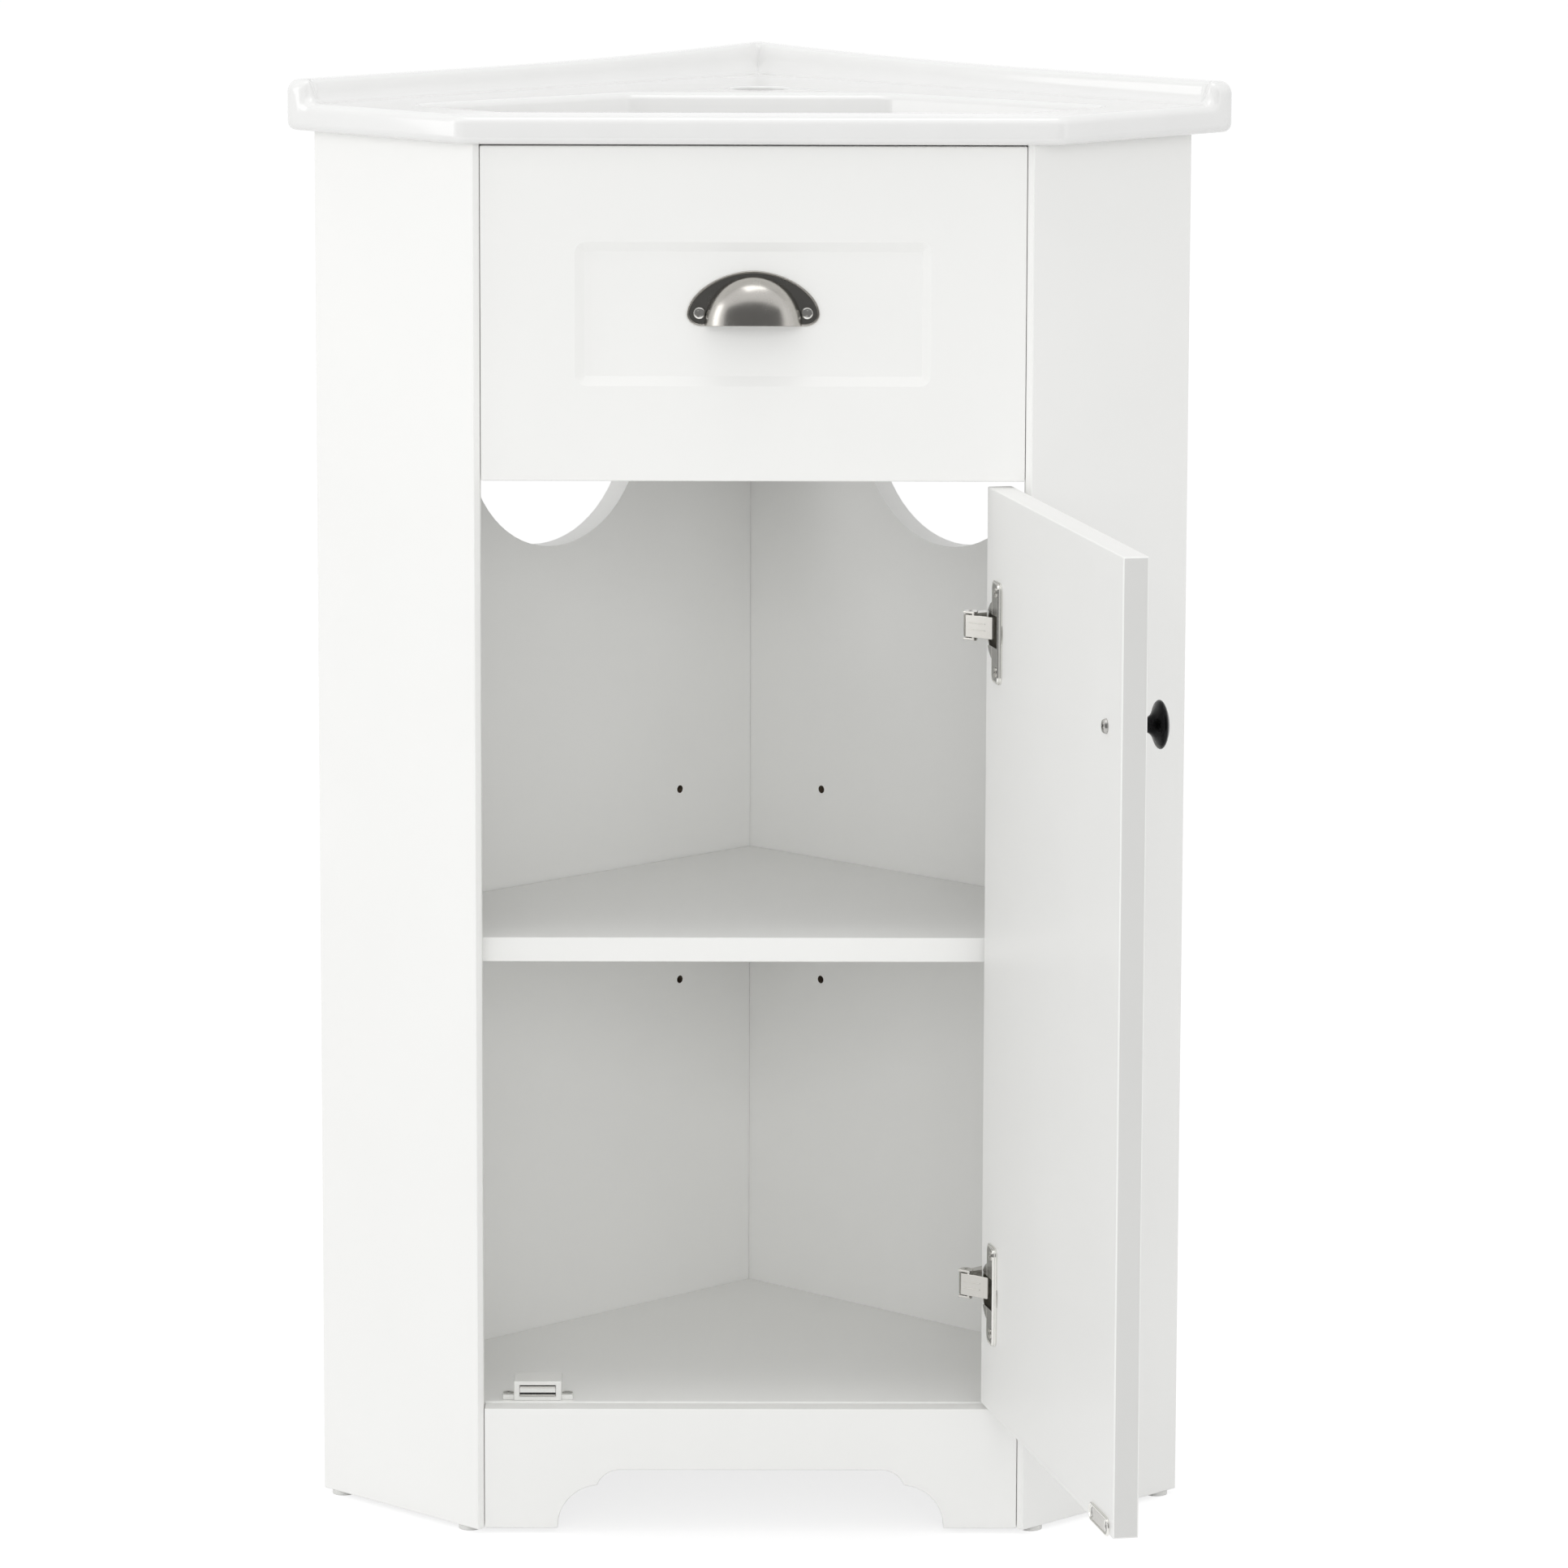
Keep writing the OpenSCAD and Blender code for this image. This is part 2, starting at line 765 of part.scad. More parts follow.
module hinge_link(z) {
  tongue = [
    [6, -4.7],
    [11, -5.2],
    [15.4, -5.2],
    [19.2, -1.4],
    [18.1, -0.3],
    [14.6, -3.7],
    [11, -3.7],
    [6, -3.2]
  ];
  color(steel_bright) place() translate([nose_pin[0], nose_pin[1], z])
    rotate(link_rest) difference() {
      union() {
        for (side = [-1, 1]) translate([0, 0, side * (link_half + link_cheek_in) / 2])
          linear_extrude(link_half - link_cheek_in, center = true) link_outline();
        translate([0, 0, -link_half]) linear_extrude(2 * link_half)
          polygon([[-3, -3.2], [-2, -4.7], [10, -4.7], [10, -3.2]]);
        for (side = [-1, 1]) translate([-1, -5.2, side * 3.5 - 0.7]) cube([10, 0.8, 1.4]);
        translate([0, 0, -tongue_half]) linear_extrude(2 * tongue_half) polygon(tongue);
      }
      translate([0, 0, -20]) cylinder(r = pin_r + pin_play, h = 40);
    }
}

module upper_hinge_link() {
  hinge_link(upper_hinge_z);
}

module lower_hinge_link() {
  hinge_link(lower_hinge_z);
}

// arm drawn on the side panel: u along the panel, n away from it
module arm_outline() {
  translate([nose_u, nose_n]) circle(r = 2.6);
  polygon([
    [nose_u, nose_n - 2.6],
    [0, 15.5],
    [12, 13],
    [66, 13],
    [66, 23.3],
    [nose_u, nose_n + 2.6]
  ]);
}

module hinge_arm(z) {
  color(steel_bright) place() on_side(0, z) difference() {
    union() {
      for (side = [-1, 1]) translate([0, 0, side * (arm_half - arm_skin / 2)])
        linear_extrude(arm_skin, center = true) arm_outline();
      translate([nose_u + 5, 22, -arm_half]) cube([66 - nose_u - 5, 1.3, 2 * arm_half]);
    }
    translate([nose_u, nose_n, -20]) cylinder(r = pin_r, h = 40);
    for (u = arm_screw_u) translate([u, 10, 0]) rotate([-90, 0, 0]) cylinder(r = 2.1, h = 20);
  }
}

module upper_hinge_arm() {
  hinge_arm(upper_hinge_z);
}

module lower_hinge_arm() {
  hinge_arm(lower_hinge_z);
}

module hinge_base(z) {
  color(steel_bright) place() on_side(0, z) difference() {
    union() {
      translate([20, 0, -5.5]) cube([44, 22, 11]);
      translate([base_u - 7, 0, -26]) cube([14, 2.5, 52]);
    }
    for (u = arm_screw_u) translate([u, 4, 0]) rotate([-90, 0, 0]) cylinder(r = 2.1, h = 20);
    for (dz = [-base_screw_dz, base_screw_dz]) translate([base_u, -1, dz]) rotate([-90, 0, 0])
      cylinder(r = 2.2, h = 5);
  }
}

module upper_hinge_base() {
  hinge_base(upper_hinge_z);
}

module lower_hinge_base() {
  hinge_base(lower_hinge_z);
}

module hinge_pin(z) {
  color(steel_bright) place() translate([nose_pin[0], nose_pin[1], z - link_half - 0.5])
    cylinder(r = pin_r, h = 2 * link_half + 1);
}

module upper_hinge_pin() {
  hinge_pin(upper_hinge_z);
}

module lower_hinge_pin() {
  hinge_pin(lower_hinge_z);
}

module plate_screw_holes() {
  for (z = [upper_hinge_z, lower_hinge_z], dz = [-base_screw_dz, base_screw_dz])
    on_side(base_u, z + dz) rotate([90, 0, 0]) translate([0, 0, -1]) cylinder(r = 2.2, h = 11);
}

module hinge_screws() {
  color(steel_bright) place() for (z = [upper_hinge_z, lower_hinge_z]) {
    for (dz = [-base_screw_dz, base_screw_dz]) on_side(base_u, z + dz) {
      translate([0, -10, 0]) rotate([-90, 0, 0]) cylinder(r = 2.2, h = 12.5);
      translate([0, 2.5, 0]) rotate([-90, 0, 0]) cylinder(r = 3.6, h = 1.6);
    }
    for (u = arm_screw_u) on_side(u, z) {
      translate([0, 4, 0]) rotate([-90, 0, 0]) cylinder(r = 2.1, h = 19.3);
      translate([0, 23.3, 0]) rotate([-90, 0, 0]) cylinder(r = 4, h = 1.8);
    }
  }
}

// ---- washbasin ----

// outline of the rim, drawn in by k on every side
function rim_points(k, r) =
  let (side = basin_side - k * sqrt(2), wall = basin_wall - k * sqrt(2), front = k - basin_overhang)
  rounded([
    [-side - front, front],
    [side + front, front],
    [(wall + side) / 2, (wall - side) / 2],
    [0, wall],
    [-(wall + side) / 2, (wall - side) / 2]
  ], r);

// outline of the bowl, drawn in by k on every side
function bowl_points(k, r) = rounded([
  [-(152 - k * 0.41), 26 + k],
  [152 - k * 0.41, 26 + k],
  [208 - k * 1.4, 80],
  [78 - k * 0.3, 180 - k],
  [-(78 - k * 0.3), 180 - k],
  [-(208 - k * 1.4), 80]
], r);

module slab(points, z, h = 0.01) {
  translate([0, 0, z]) linear_extrude(h) polygon(points);
}

module rim_solid() {
  hull() {
    slab(rim_points(2, end_round), basin_low);
    slab(rim_points(0, end_round), basin_low + 3);
    slab(rim_points(0, end_round), deck_z - 6);
    slab(rim_points(1.8, end_round), deck_z - 1.8);
    slab(rim_points(6, end_round), deck_z - 0.01);
  }
}

// one leg of the splash wall, its profile swept along the right wall
module splash_leg() {
  run = (basin_wall + basin_side) / sqrt(2);
  cove = 7;
  inner_r = 5;
  outer_r = 3;
  foot = 3 - rim_t;
  translate([0, basin_wall, deck_z]) rotate(-45) rotate([90, 0, 90]) linear_extrude(run - 2)
    polygon(concat(
      [[0, foot], [-splash_t - cove, foot]],
      [for (a = [0 : 22.5 : 90]) [-splash_t - cove * (1 - sin(a)), cove * (1 - cos(a))]],
      [for (a = [0 : 22.5 : 90])
        [-splash_t + inner_r * (1 - cos(a)), splash_h - inner_r * (1 - sin(a))]],
      [for (a = [90 : -22.5 : 0]) [outer_r * (cos(a) - 1), splash_h - outer_r * (1 - sin(a))]]
    ));
}

module splash_wall() {
  both_sides() intersection() {
    splash_leg();
    translate([0, -50, 0]) cube([400, 500, 1000]);
    slab(rim_points(0, end_round), basin_low, 100);
  }
}

module bowl_hollow() {
  hull() {
    slab(bowl_points(-5, 14), deck_z, 2);
    slab(bowl_points(-1.5, 14), deck_z - 1.5);
    slab(bowl_points(0, 14), deck_z - 6);
    slab(bowl_points(14, 24), bowl_floor + 26);
    slab(bowl_points(22, 28), bowl_floor + 8);
    slab(bowl_points(34, 30), bowl_floor, 0.01);
  }
}

module bowl_shell() {
  hull() {
    slab(bowl_points(-6, 18), deck_z - deck_t);
    slab(bowl_points(6, 28), bowl_floor + 20);
    slab(bowl_points(26, 34), bowl_floor - bowl_t);
  }
}

module washbasin() {
  color(ceramic_white) place() translate([basin_shift, 0, 0]) difference() {
    union() {
      difference() {
        union() {
          rim_solid();
          splash_wall();
        }
        slab(rim_points(pocket_in, 4), basin_low - 1, rim_t - deck_t + 1);
      }
      bowl_shell();
    }
    bowl_hollow();
    translate([0, tap_y, basin_low - 1]) cylinder(d = tap_d, h = rim_t + 2);
    translate([0, waste_y, bowl_floor - bowl_t - 1]) cylinder(d = waste_d, h = bowl_t + 2);
  }
}

washbasin();
left_side_panel();
right_side_panel();
left_back_panel();
right_back_panel();
floor_panel();
shelf();
shelf_pins();
drawer_front();
plinth();
corner_blocks();
block_screws();
cam_locks();
cam_bolts();
corner_screws();
dowels();
floor_glides();
catch_body();
catch_poles();
catch_magnet();
catch_screws();
cup_pull();
pull_screws();
upper_hinge_arm();
lower_hinge_arm();
upper_hinge_base();
lower_hinge_base();
upper_hinge_pin();
lower_hinge_pin();
hinge_screws();
upper_hinge_link();
lower_hinge_link();
door();
door_knob();
knob_screw();
strike_plate();
strike_screws();
upper_hinge_cup();
lower_hinge_cup();
cup_screws();
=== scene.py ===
"""Looks of the corner vanity unit: glazed basin, foil boards, nickel fittings and the studio."""

import json
import math

import bmesh
import bpy
from bmesh.types import BMEdge, BMFace, BMVert
from mathutils import Matrix, Vector


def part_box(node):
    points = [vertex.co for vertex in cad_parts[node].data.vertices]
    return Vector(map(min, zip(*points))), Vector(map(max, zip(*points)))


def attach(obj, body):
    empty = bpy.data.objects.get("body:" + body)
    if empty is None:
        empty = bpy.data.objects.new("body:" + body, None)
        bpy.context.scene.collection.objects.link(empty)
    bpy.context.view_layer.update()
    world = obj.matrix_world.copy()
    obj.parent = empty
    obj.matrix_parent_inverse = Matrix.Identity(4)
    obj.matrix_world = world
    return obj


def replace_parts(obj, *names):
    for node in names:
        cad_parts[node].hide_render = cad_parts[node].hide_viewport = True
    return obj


bl_info = {
    "name": "Corner vanity unit",
    "version": (1, 0, 0),
    "blender": (4, 5, 0),
    "location": "View3D > Sidebar > Vanity",
    "description": "Dresses the packed corner vanity unit with its modelled pieces and finishes",
    "category": "Object",
}

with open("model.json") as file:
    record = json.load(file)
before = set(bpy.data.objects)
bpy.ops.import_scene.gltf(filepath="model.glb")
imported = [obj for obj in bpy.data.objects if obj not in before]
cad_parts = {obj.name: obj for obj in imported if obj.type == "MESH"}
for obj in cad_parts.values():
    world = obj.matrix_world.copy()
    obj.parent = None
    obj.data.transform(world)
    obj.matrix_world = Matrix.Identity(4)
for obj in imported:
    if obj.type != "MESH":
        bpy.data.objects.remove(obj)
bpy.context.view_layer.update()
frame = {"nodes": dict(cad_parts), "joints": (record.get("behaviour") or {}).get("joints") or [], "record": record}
RECORD = frame["record"]
BODIES = {n: body for body, nodes in RECORD["behaviour"]["bodies"].items() for n in nodes}
DOOR_SWING = next(j for j in frame["joints"] if j["name"] == "door_swing")

MM = 1000.0
FULL_TURN = 2 * math.pi
ROOT_2 = math.sqrt(2)

# The drawing frame is the source's own: millimetres, Y = 0 at the side panels' front corners.
SWING = Vector((153, 6.7, 0))
SWING_M = Vector(DOOR_SWING["pos_m"])
OPEN = math.radians(-DOOR_SWING["range_deg"][0])
SHIFT = Vector((SWING.x - SWING_M.x * MM, SWING.y - SWING_M.y * MM, 0))
PLACE = Matrix.Scale(1 / MM, 4) @ Matrix.Translation(-SHIFT)
SWUNG = Matrix.Translation(SWING) @ Matrix.Rotation(OPEN, 4, "Z") @ Matrix.Translation(-SWING)

# Sizes in millimetres that the source also holds.
FRONT_Y = 3.7
BACK_Y = FRONT_Y + 15.0
PULL_FACE = FRONT_Y + 3.0
FLOOR_TOP = 78.7
RIM_LOW = 847.0
DECK = 864.0
CUP_X = 130.5
HINGE_Z = (558.5, 154.5)

finishes = {}


# ---- sizes and colours


def amount(name, description, default, **kind):
    """A number that isn't below zero."""
    return bpy.props.FloatProperty(
        name=name, description=description, default=default, min=0.0, **kind
    )


def length(name, description, default):
    """A length in metres."""
    return amount(name, description, default, subtype="DISTANCE", unit="LENGTH")


def angle(name, description, degrees):
    """An angle, given in degrees."""
    return amount(name, description, math.radians(degrees), subtype="ANGLE")


def colour(name, description, default):
    """A colour as an sRGB hex value."""
    return bpy.props.StringProperty(name=name, description=description, default=default)


class VanitySizes(bpy.types.PropertyGroup):
    """Sizes of the details that the modelled pieces add."""

    board_round: length("Board edge round", "Radius of the boards' long edges", 0.0008)
    recess_round: length("Recess corner", "Corner radius of the sunk panel's outline", 0.0068)
    bowl_lip: length("Bowl lip", "Width of the round between deck and bowl", 0.006)
    pull_shell: length("Pull shell", "Wall thickness of the cup pull's dome", 0.0014)
    glaze_wave: length("Glaze wave", "Distance between the glaze's soft waves", 0.03)
    foil_grain: length("Foil grain", "Grain of the boards' foil", 0.0012)


class VanityColours(bpy.types.PropertyGroup):
    """Colours of the finishes, as sRGB hex values."""

    glaze: colour("Glaze", "Sanitary glaze", "#f0f0ef")
    foil: colour("Foil", "White foil of the boards", "#f8f8f6")
    # the edge band's darker colour is painted shade on the door's free edge
    edge: colour("Edge band", "Edge band on the door's free edge", "#dcdcda")
    plastic: colour("Plastic", "White moulded plastic", "#ecece9")
    nickel: colour("Nickel", "Nickel plate of the hinges", "#c6c4bf")
    satin: colour("Satin nickel", "Brushed nickel of the cup pull", "#bcb9b4")
    knob: colour("Knob", "Black nickel of the knob", "#262627")
    zinc: colour("Zinc", "Zinc plate of screws and cams", "#bdbcb9")


class VanityStage(bpy.types.PropertyGroup):
    """Camera and studio."""

    lens: amount("Lens", "Focal length in millimetres", 168.1)
    camera_place: bpy.props.FloatVectorProperty(
        name="Camera place", description="Where the camera stands",
        default=(-0.0184, -4.3677, 1.191), subtype="XYZ", unit="LENGTH"
    )
    turn: angle("Turn", "Camera turned to the right", 0.443)
    dip: angle("Dip", "Camera dipped below the horizon", 9.542)
    left_power: amount("Left power", "Watts of the softbox on the left", 8.8)
    top_power: amount("Top power", "Watts of the softbox above", 7.2)
    right_power: amount("Right power", "Watts of the strip on the right", 0.4)
    front_power: amount("Front power", "Watts of the fill behind the camera", 44.8)
    room_light: amount("Room light", "Strength of the even light all round", 0.75)


# ---- materials


def linear(code):
    """sRGB hex to the linear colour that the shaders take."""
    parts = [int(code[i : i + 2], 16) / 255 for i in (1, 3, 5)]
    shade = [c / 12.92 if c <= 0.04045 else ((c + 0.055) / 1.055) ** 2.4 for c in parts]
    return (*shade, 1)


def add(tree, kind, sockets=None, ramp=None, **settings):
    """Adds a node with its settings, values and links; a node as a value is its first output."""
    made = tree.nodes.new("ShaderNode" + kind)
    for name, value in settings.items():
        setattr(made, name, value)
    for name, value in (sockets or {}).items():
        value = value.outputs[0] if isinstance(value, bpy.types.Node) else value
        if isinstance(value, bpy.types.NodeSocket):
            tree.links.new(value, made.inputs[name])
        else:
            made.inputs[name].default_value = value
    if ramp:
        for stop, (place, shade) in zip(made.color_ramp.elements, ramp):
            stop.position, stop.color = place, shade
    return made


def material(name):
    """An empty node material, and the Object coordinates that patterns read."""
    made = bpy.data.materials.new(name)
    made.use_nodes = True
    tree = made.node_tree
    tree.nodes.clear()
    finishes[name] = made
    return tree, add(tree, "TexCoord").outputs["Object"]


def shades(code, spread):
    """A colour a little darker and a little lighter, for slow variation over a surface."""
    base = linear(code)[:3]
    return [
        (0.3, (*(c * (1 - spread) for c in base), 1)),
        (0.7, (*(min(c * (1 + spread), 1) for c in base), 1)),
    ]


def surface(tree, tint, rough, relief, plain):
    """Ends a finish: tint is (pattern, ramp), relief is (pattern, strength, distance)."""
    shade = add(tree, "ValToRGB", {"Fac": tint[0]}, ramp=tint[1])
    height, strength, distance = relief
    bump = add(tree, "Bump", {"Height": height, "Strength": strength, "Distance": distance})
    shader = add(tree, "BsdfPrincipled", {
        "Base Color": shade, "Roughness": rough, "Normal": bump, **plain
    })
    add(tree, "OutputMaterial", {"Surface": shader})


def glazed_ceramic(code, wave):
    """Vitreous china, glazed and fired: clear mirror gloss that rolls in long soft waves."""
    tree, place = material("glazed_vitreous_china")
    roll = add(tree, "TexNoise", {"Vector": place, "Scale": 1 / wave, "Detail": 1})
    gloss = add(tree, "MapRange", {"Value": roll, "To Min": 0.085, "To Max": 0.095})
    surface(tree, (roll, shades(code, 0.006)), gloss, (roll, 0.01, 0.0001), {
        "IOR": 1.52, "Coat Weight": 0.3, "Coat Roughness": 0.03
    })


def foil_board(name, code, grain):
    """PVC foil pressed on fibreboard: a fine pebble that breaks the light to a soft satin."""
    tree, place = material(name)
    # the real pebble is about 0.3 mm, drawn at 1.2 mm so that it shows at this distance
    pebble = add(tree, "TexNoise", {"Vector": place, "Scale": 1 / grain, "Detail": 3})
    cloud = add(tree, "TexNoise", {"Vector": place, "Scale": 9, "Detail": 2})
    gloss = add(tree, "MapRange", {"Value": cloud, "To Min": 0.34, "To Max": 0.46})
    surface(tree, (cloud, shades(code, 0.008)), gloss, (pebble, 0.18, 0.00006), {
        "IOR": 1.5, "Specular IOR Level": 0.4
    })


def moulded_plastic(name, code, rough):
    """Moulded ABS or polyethylene: spark-eroded tool texture, soft highlight."""
    tree, place = material(name)
    spark = add(tree, "TexNoise", {"Vector": place, "Scale": 1600, "Detail": 2})
    gloss = add(tree, "MapRange", {"Value": spark, "To Min": rough - 0.05, "To Max": rough + 0.07})
    surface(tree, (spark, shades(code, 0.012)), gloss, (spark, 0.25, 0.00004), {"IOR": 1.53})


def plated_steel(name, code, rough, lines, depth, spread=0.04):
    """Plated steel: lines is the stretch (x, y, z) of the brush or roll marks per metre."""
    tree, place = material(name)
    drawn_out = add(tree, "Mapping", {"Vector": place, "Scale": lines})
    marks = add(tree, "TexNoise", {"Vector": drawn_out, "Scale": 1, "Detail": 4})
    cloud = add(tree, "TexNoise", {"Vector": place, "Scale": 120, "Detail": 2})
    gloss = add(tree, "MapRange", {"Value": cloud, "To Min": rough * 0.8, "To Max": rough * 1.25})
    surface(tree, (marks, shades(code, spread)), gloss, (marks, 0.3, depth), {"Metallic": 1})


def sintered_ferrite():
    """Sintered ferrite magnet: dull grey-black with open pores."""
    tree, place = material("sintered_ferrite")
    pores = add(tree, "TexVoronoi", {"Vector": place, "Scale": 1400})
    surface(tree, (pores, shades("#2b2b2c", 0.2)), 0.75, (pores, 0.4, 0.0001), {})


def raw_fibreboard():
    """Drilled fibreboard: dark brown, matt and furry where the drill cut it."""
    tree, place = material("raw_fibreboard")
    fibre = add(tree, "TexNoise", {"Vector": place, "Scale": 2200, "Detail": 3})
    browns = [(0.3, linear("#3f352b")), (0.7, linear("#5f5243"))]
    surface(tree, (fibre, browns), 0.9, (fibre, 0.5, 0.0001), {})


def bare_beech():
    """Turned beech, unfinished: pale pink-brown with short dark flecks along the grain."""
    tree, place = material("bare_beech")
    along = add(tree, "Mapping", {"Vector": place, "Scale": (900, 900, 3000)})
    fleck = add(tree, "TexNoise", {"Vector": along, "Scale": 1, "Detail": 3})
    woods = [(0.3, linear("#b88f62")), (0.65, linear("#dabb90"))]
    surface(tree, (fleck, woods), 0.6, (fleck, 0.3, 0.00008), {})


# ---- shapes


def placed(name, data):
    """A new object of the scene that holds the data."""
    made = bpy.data.objects.new(name, data)
    bpy.context.scene.collection.objects.link(made)
    return made


def mesh_data(name, mesh):
    """Turns a bmesh to mesh data and frees it."""
    data = bpy.data.meshes.new(name)
    mesh.to_mesh(data)
    mesh.free()
    return data


def finished(name, mesh, finish, node, sharp=34.0):
    """Places a modelled shape, gives it its finish and body, and lets it stand for its CAD node."""
    move(mesh, PLACE)
    data = mesh_data(name, mesh)
    for each in finish.split():
        data.materials.append(finishes[each])
    data.polygons.foreach_set("use_smooth", [True] * len(data.polygons))
    data.set_sharp_from_angle(angle=math.radians(sharp))
    piece = placed(name, data)
    piece.modifiers.new("even_normals", "WEIGHTED_NORMAL").keep_sharp = True
    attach(piece, BODIES[node])
    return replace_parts(piece, node)


def move(mesh, matrix):
    """Moves a whole shape by a matrix."""
    bmesh.ops.transform(mesh, matrix=matrix, verts=mesh.verts)


def face_out(mesh):
    """Turns every face of a shape outwards."""
    bmesh.ops.recalc_face_normals(mesh, faces=mesh.faces)


def fill(mesh, edges, **way):
    """Spans faces between loops of edges."""
    return bmesh.ops.triangle_fill(mesh, use_beauty=True, edges=edges, **way)["geom"]


def only(geom, kind):
    """The vertices, edges or faces out of what an operator gives back."""
    return [g for g in geom if isinstance(g, kind)]


def sharp_edges(mesh, angle=38.0):
    """Edges between two faces that meet at more than the angle."""
    limit = math.radians(angle)
    return [e for e in mesh.edges if len(e.link_faces) == 2 and e.calc_face_angle(0) > limit]


def rounded(mesh, geom, radius, segments=3, affect="EDGES"):
    """Rounds edges, or the corners of a face, to a radius."""
    bmesh.ops.bevel(
        mesh, geom=geom, offset=radius, offset_type="OFFSET", segments=segments, profile=0.5,
        affect=affect, clamp_overlap=True, material=-1
    )


def softened(name, node, finish, radius, shortest, segments=3, core=0.0, inner=None):
    """A CAD node with its flat faces made whole and its long sharp edges rounded off.

    Faces within the core size are the walls and floors of bores, and take the second finish.
    Inner is the way that a board's inner face looks; holes that are closed there are opened.
    """
    mesh = bmesh.new()
    mesh.from_mesh(frame["nodes"][node].data)
    bmesh.ops.remove_doubles(mesh, verts=mesh.verts, dist=2e-6)
    move(mesh, PLACE.inverted())
    if inner:
        reopened(mesh, Vector(inner).normalized())
    bmesh.ops.dissolve_limit(
        mesh, angle_limit=math.radians(0.5), verts=mesh.verts, edges=mesh.edges
    )
    edges = [e for e in sharp_edges(mesh) if e.calc_length() > shortest]
    for f in mesh.faces:
        middle = f.calc_center_median()
        f.material_index = int(max((v.co - middle).length for v in f.verts) < core)
    rounded(mesh, edges, radius, segments)
    return finished(name, mesh, finish, node)


def reopened(mesh, way):
    """Opens the holes that lie closed in the widest face that looks one way."""
    side = [f for f in mesh.faces if f.normal.dot(way) > 0.999]
    place = max(side, key=lambda f: f.calc_area()).calc_center_median()

    def level(f):
        return abs((f.calc_center_median() - place).dot(way)) < 0.05

    face = [f for f in side if level(f)]
    lids = [f for f in mesh.faces if f.normal.dot(way) < -0.999 and level(f)]
    outline = [
        e for part in (set(face), set(lids)) for e in mesh.edges
        if sum(f in part for f in e.link_faces) == 1
    ]
    for v in {v for f in lids for v in f.verts}:
        v.co -= way * (v.co - place).dot(way)
    bmesh.ops.delete(mesh, geom=lids + face, context="FACES")
    fill(mesh, outline, normal=way)
    face_out(mesh)


def turned(profile, steps, sweep=FULL_TURN):
    """A shape of revolution about Z from (radius, height) points, as a lathe makes it."""
    mesh = bmesh.new()
    line = [mesh.verts.new((r, 0, z)) for r, z in profile]
    edges = [mesh.edges.new(pair) for pair in zip(line, line[1:])]
    bmesh.ops.spin(
        mesh, geom=line + edges, axis=(0, 0, 1), cent=(0, 0, 0), steps=steps, angle=sweep,
        use_merge=sweep == FULL_TURN, use_duplicate=False
    )
    bmesh.ops.remove_doubles(mesh, verts=mesh.verts, dist=1e-4)
    face_out(mesh)
    return mesh


def arc(cx, cy, rx, ry, start, stop, count):
    """Points on a part of an ellipse, angles in degrees."""
    angles = [math.radians(start + (stop - start) * i / count) for i in range(count + 1)]
    return [(cx + rx * math.cos(a), cy + ry * math.sin(a)) for a in angles]


def extruded(outline, low, high, edge):
    """A flat blank cut to an outline, from one height to another, its sharp edges rounded."""
    mesh = bmesh.new()
    face = mesh.faces.new([mesh.verts.new((x, y, low)) for x, y in outline])
    grown = bmesh.ops.extrude_face_region(mesh, geom=[face])["geom"]
    bmesh.ops.translate(mesh, vec=(0, 0, high - low), verts=only(grown, BMVert))
    face_out(mesh)
    rounded(mesh, sharp_edges(mesh), edge)
    return mesh


def box(size, middle, edge, segments=3):
    """A block with rounded edges."""
    mesh = bmesh.new()
    bmesh.ops.create_cube(mesh, size=1.0)
    bmesh.ops.scale(mesh, vec=size, verts=mesh.verts)
    bmesh.ops.translate(mesh, vec=middle, verts=mesh.verts)
    rounded(mesh, sharp_edges(mesh), edge, segments)
    return mesh


def join(mesh, other, matrix=Matrix.Identity(4)):
    """Adds another shape, moved by the matrix, to a shape, and frees it."""
    move(other, matrix)
    data = mesh_data("join", other)
    mesh.from_mesh(data)
    bpy.data.meshes.remove(data)


def facing(place, outwards, roll=0.0):
    """Matrix that puts a shape's Z along the way outwards, at a place in the drawing frame."""
    turn = Vector(outwards).to_track_quat("Z", "Y").to_matrix().to_4x4()
    return Matrix.Translation(place) @ turn @ Matrix.Rotation(roll, 4, "Z")


def cross_head(radius, height):
    """Screw head with a cross recess, its seat at Z = 0."""
    half, arm = radius * 0.5, 0.26
    lines = (-1, -0.62, -arm, 0, arm, 0.62, 1)
    mesh = bmesh.new()
    made = bmesh.ops.create_grid(mesh, x_segments=6, y_segments=6, size=1.0)
    for v in made["verts"]:
        v.co = [lines[round((c + 1) * 3)] * half for c in v.co[:2]] + [height]
    rim = [e for e in mesh.edges if e.is_boundary]
    recess = [
        f for f in mesh.faces if min(abs(c) for c in f.calc_center_median().xy) < arm * half
    ]
    sunk = bmesh.ops.extrude_face_region(mesh, geom=recess)["geom"]
    bmesh.ops.delete(mesh, geom=recess, context="FACES")
    for v in only(sunk, BMVert):
        v.co.z -= height * 0.75
        v.co.xy *= 0.8
    for r, z in ((0.78, 0.96), (0.93, 0.72), (1, 0.3), (1, 0)):
        grown = bmesh.ops.extrude_edge_only(mesh, edges=rim)["geom"]
        rim = only(grown, BMEdge)
        for v in only(grown, BMVert):
            v.co.xy = v.co.xy.normalized() * radius * r
            v.co.z = height * z
    bmesh.ops.holes_fill(mesh, edges=rim, sides=0)
    face_out(mesh)
    return mesh


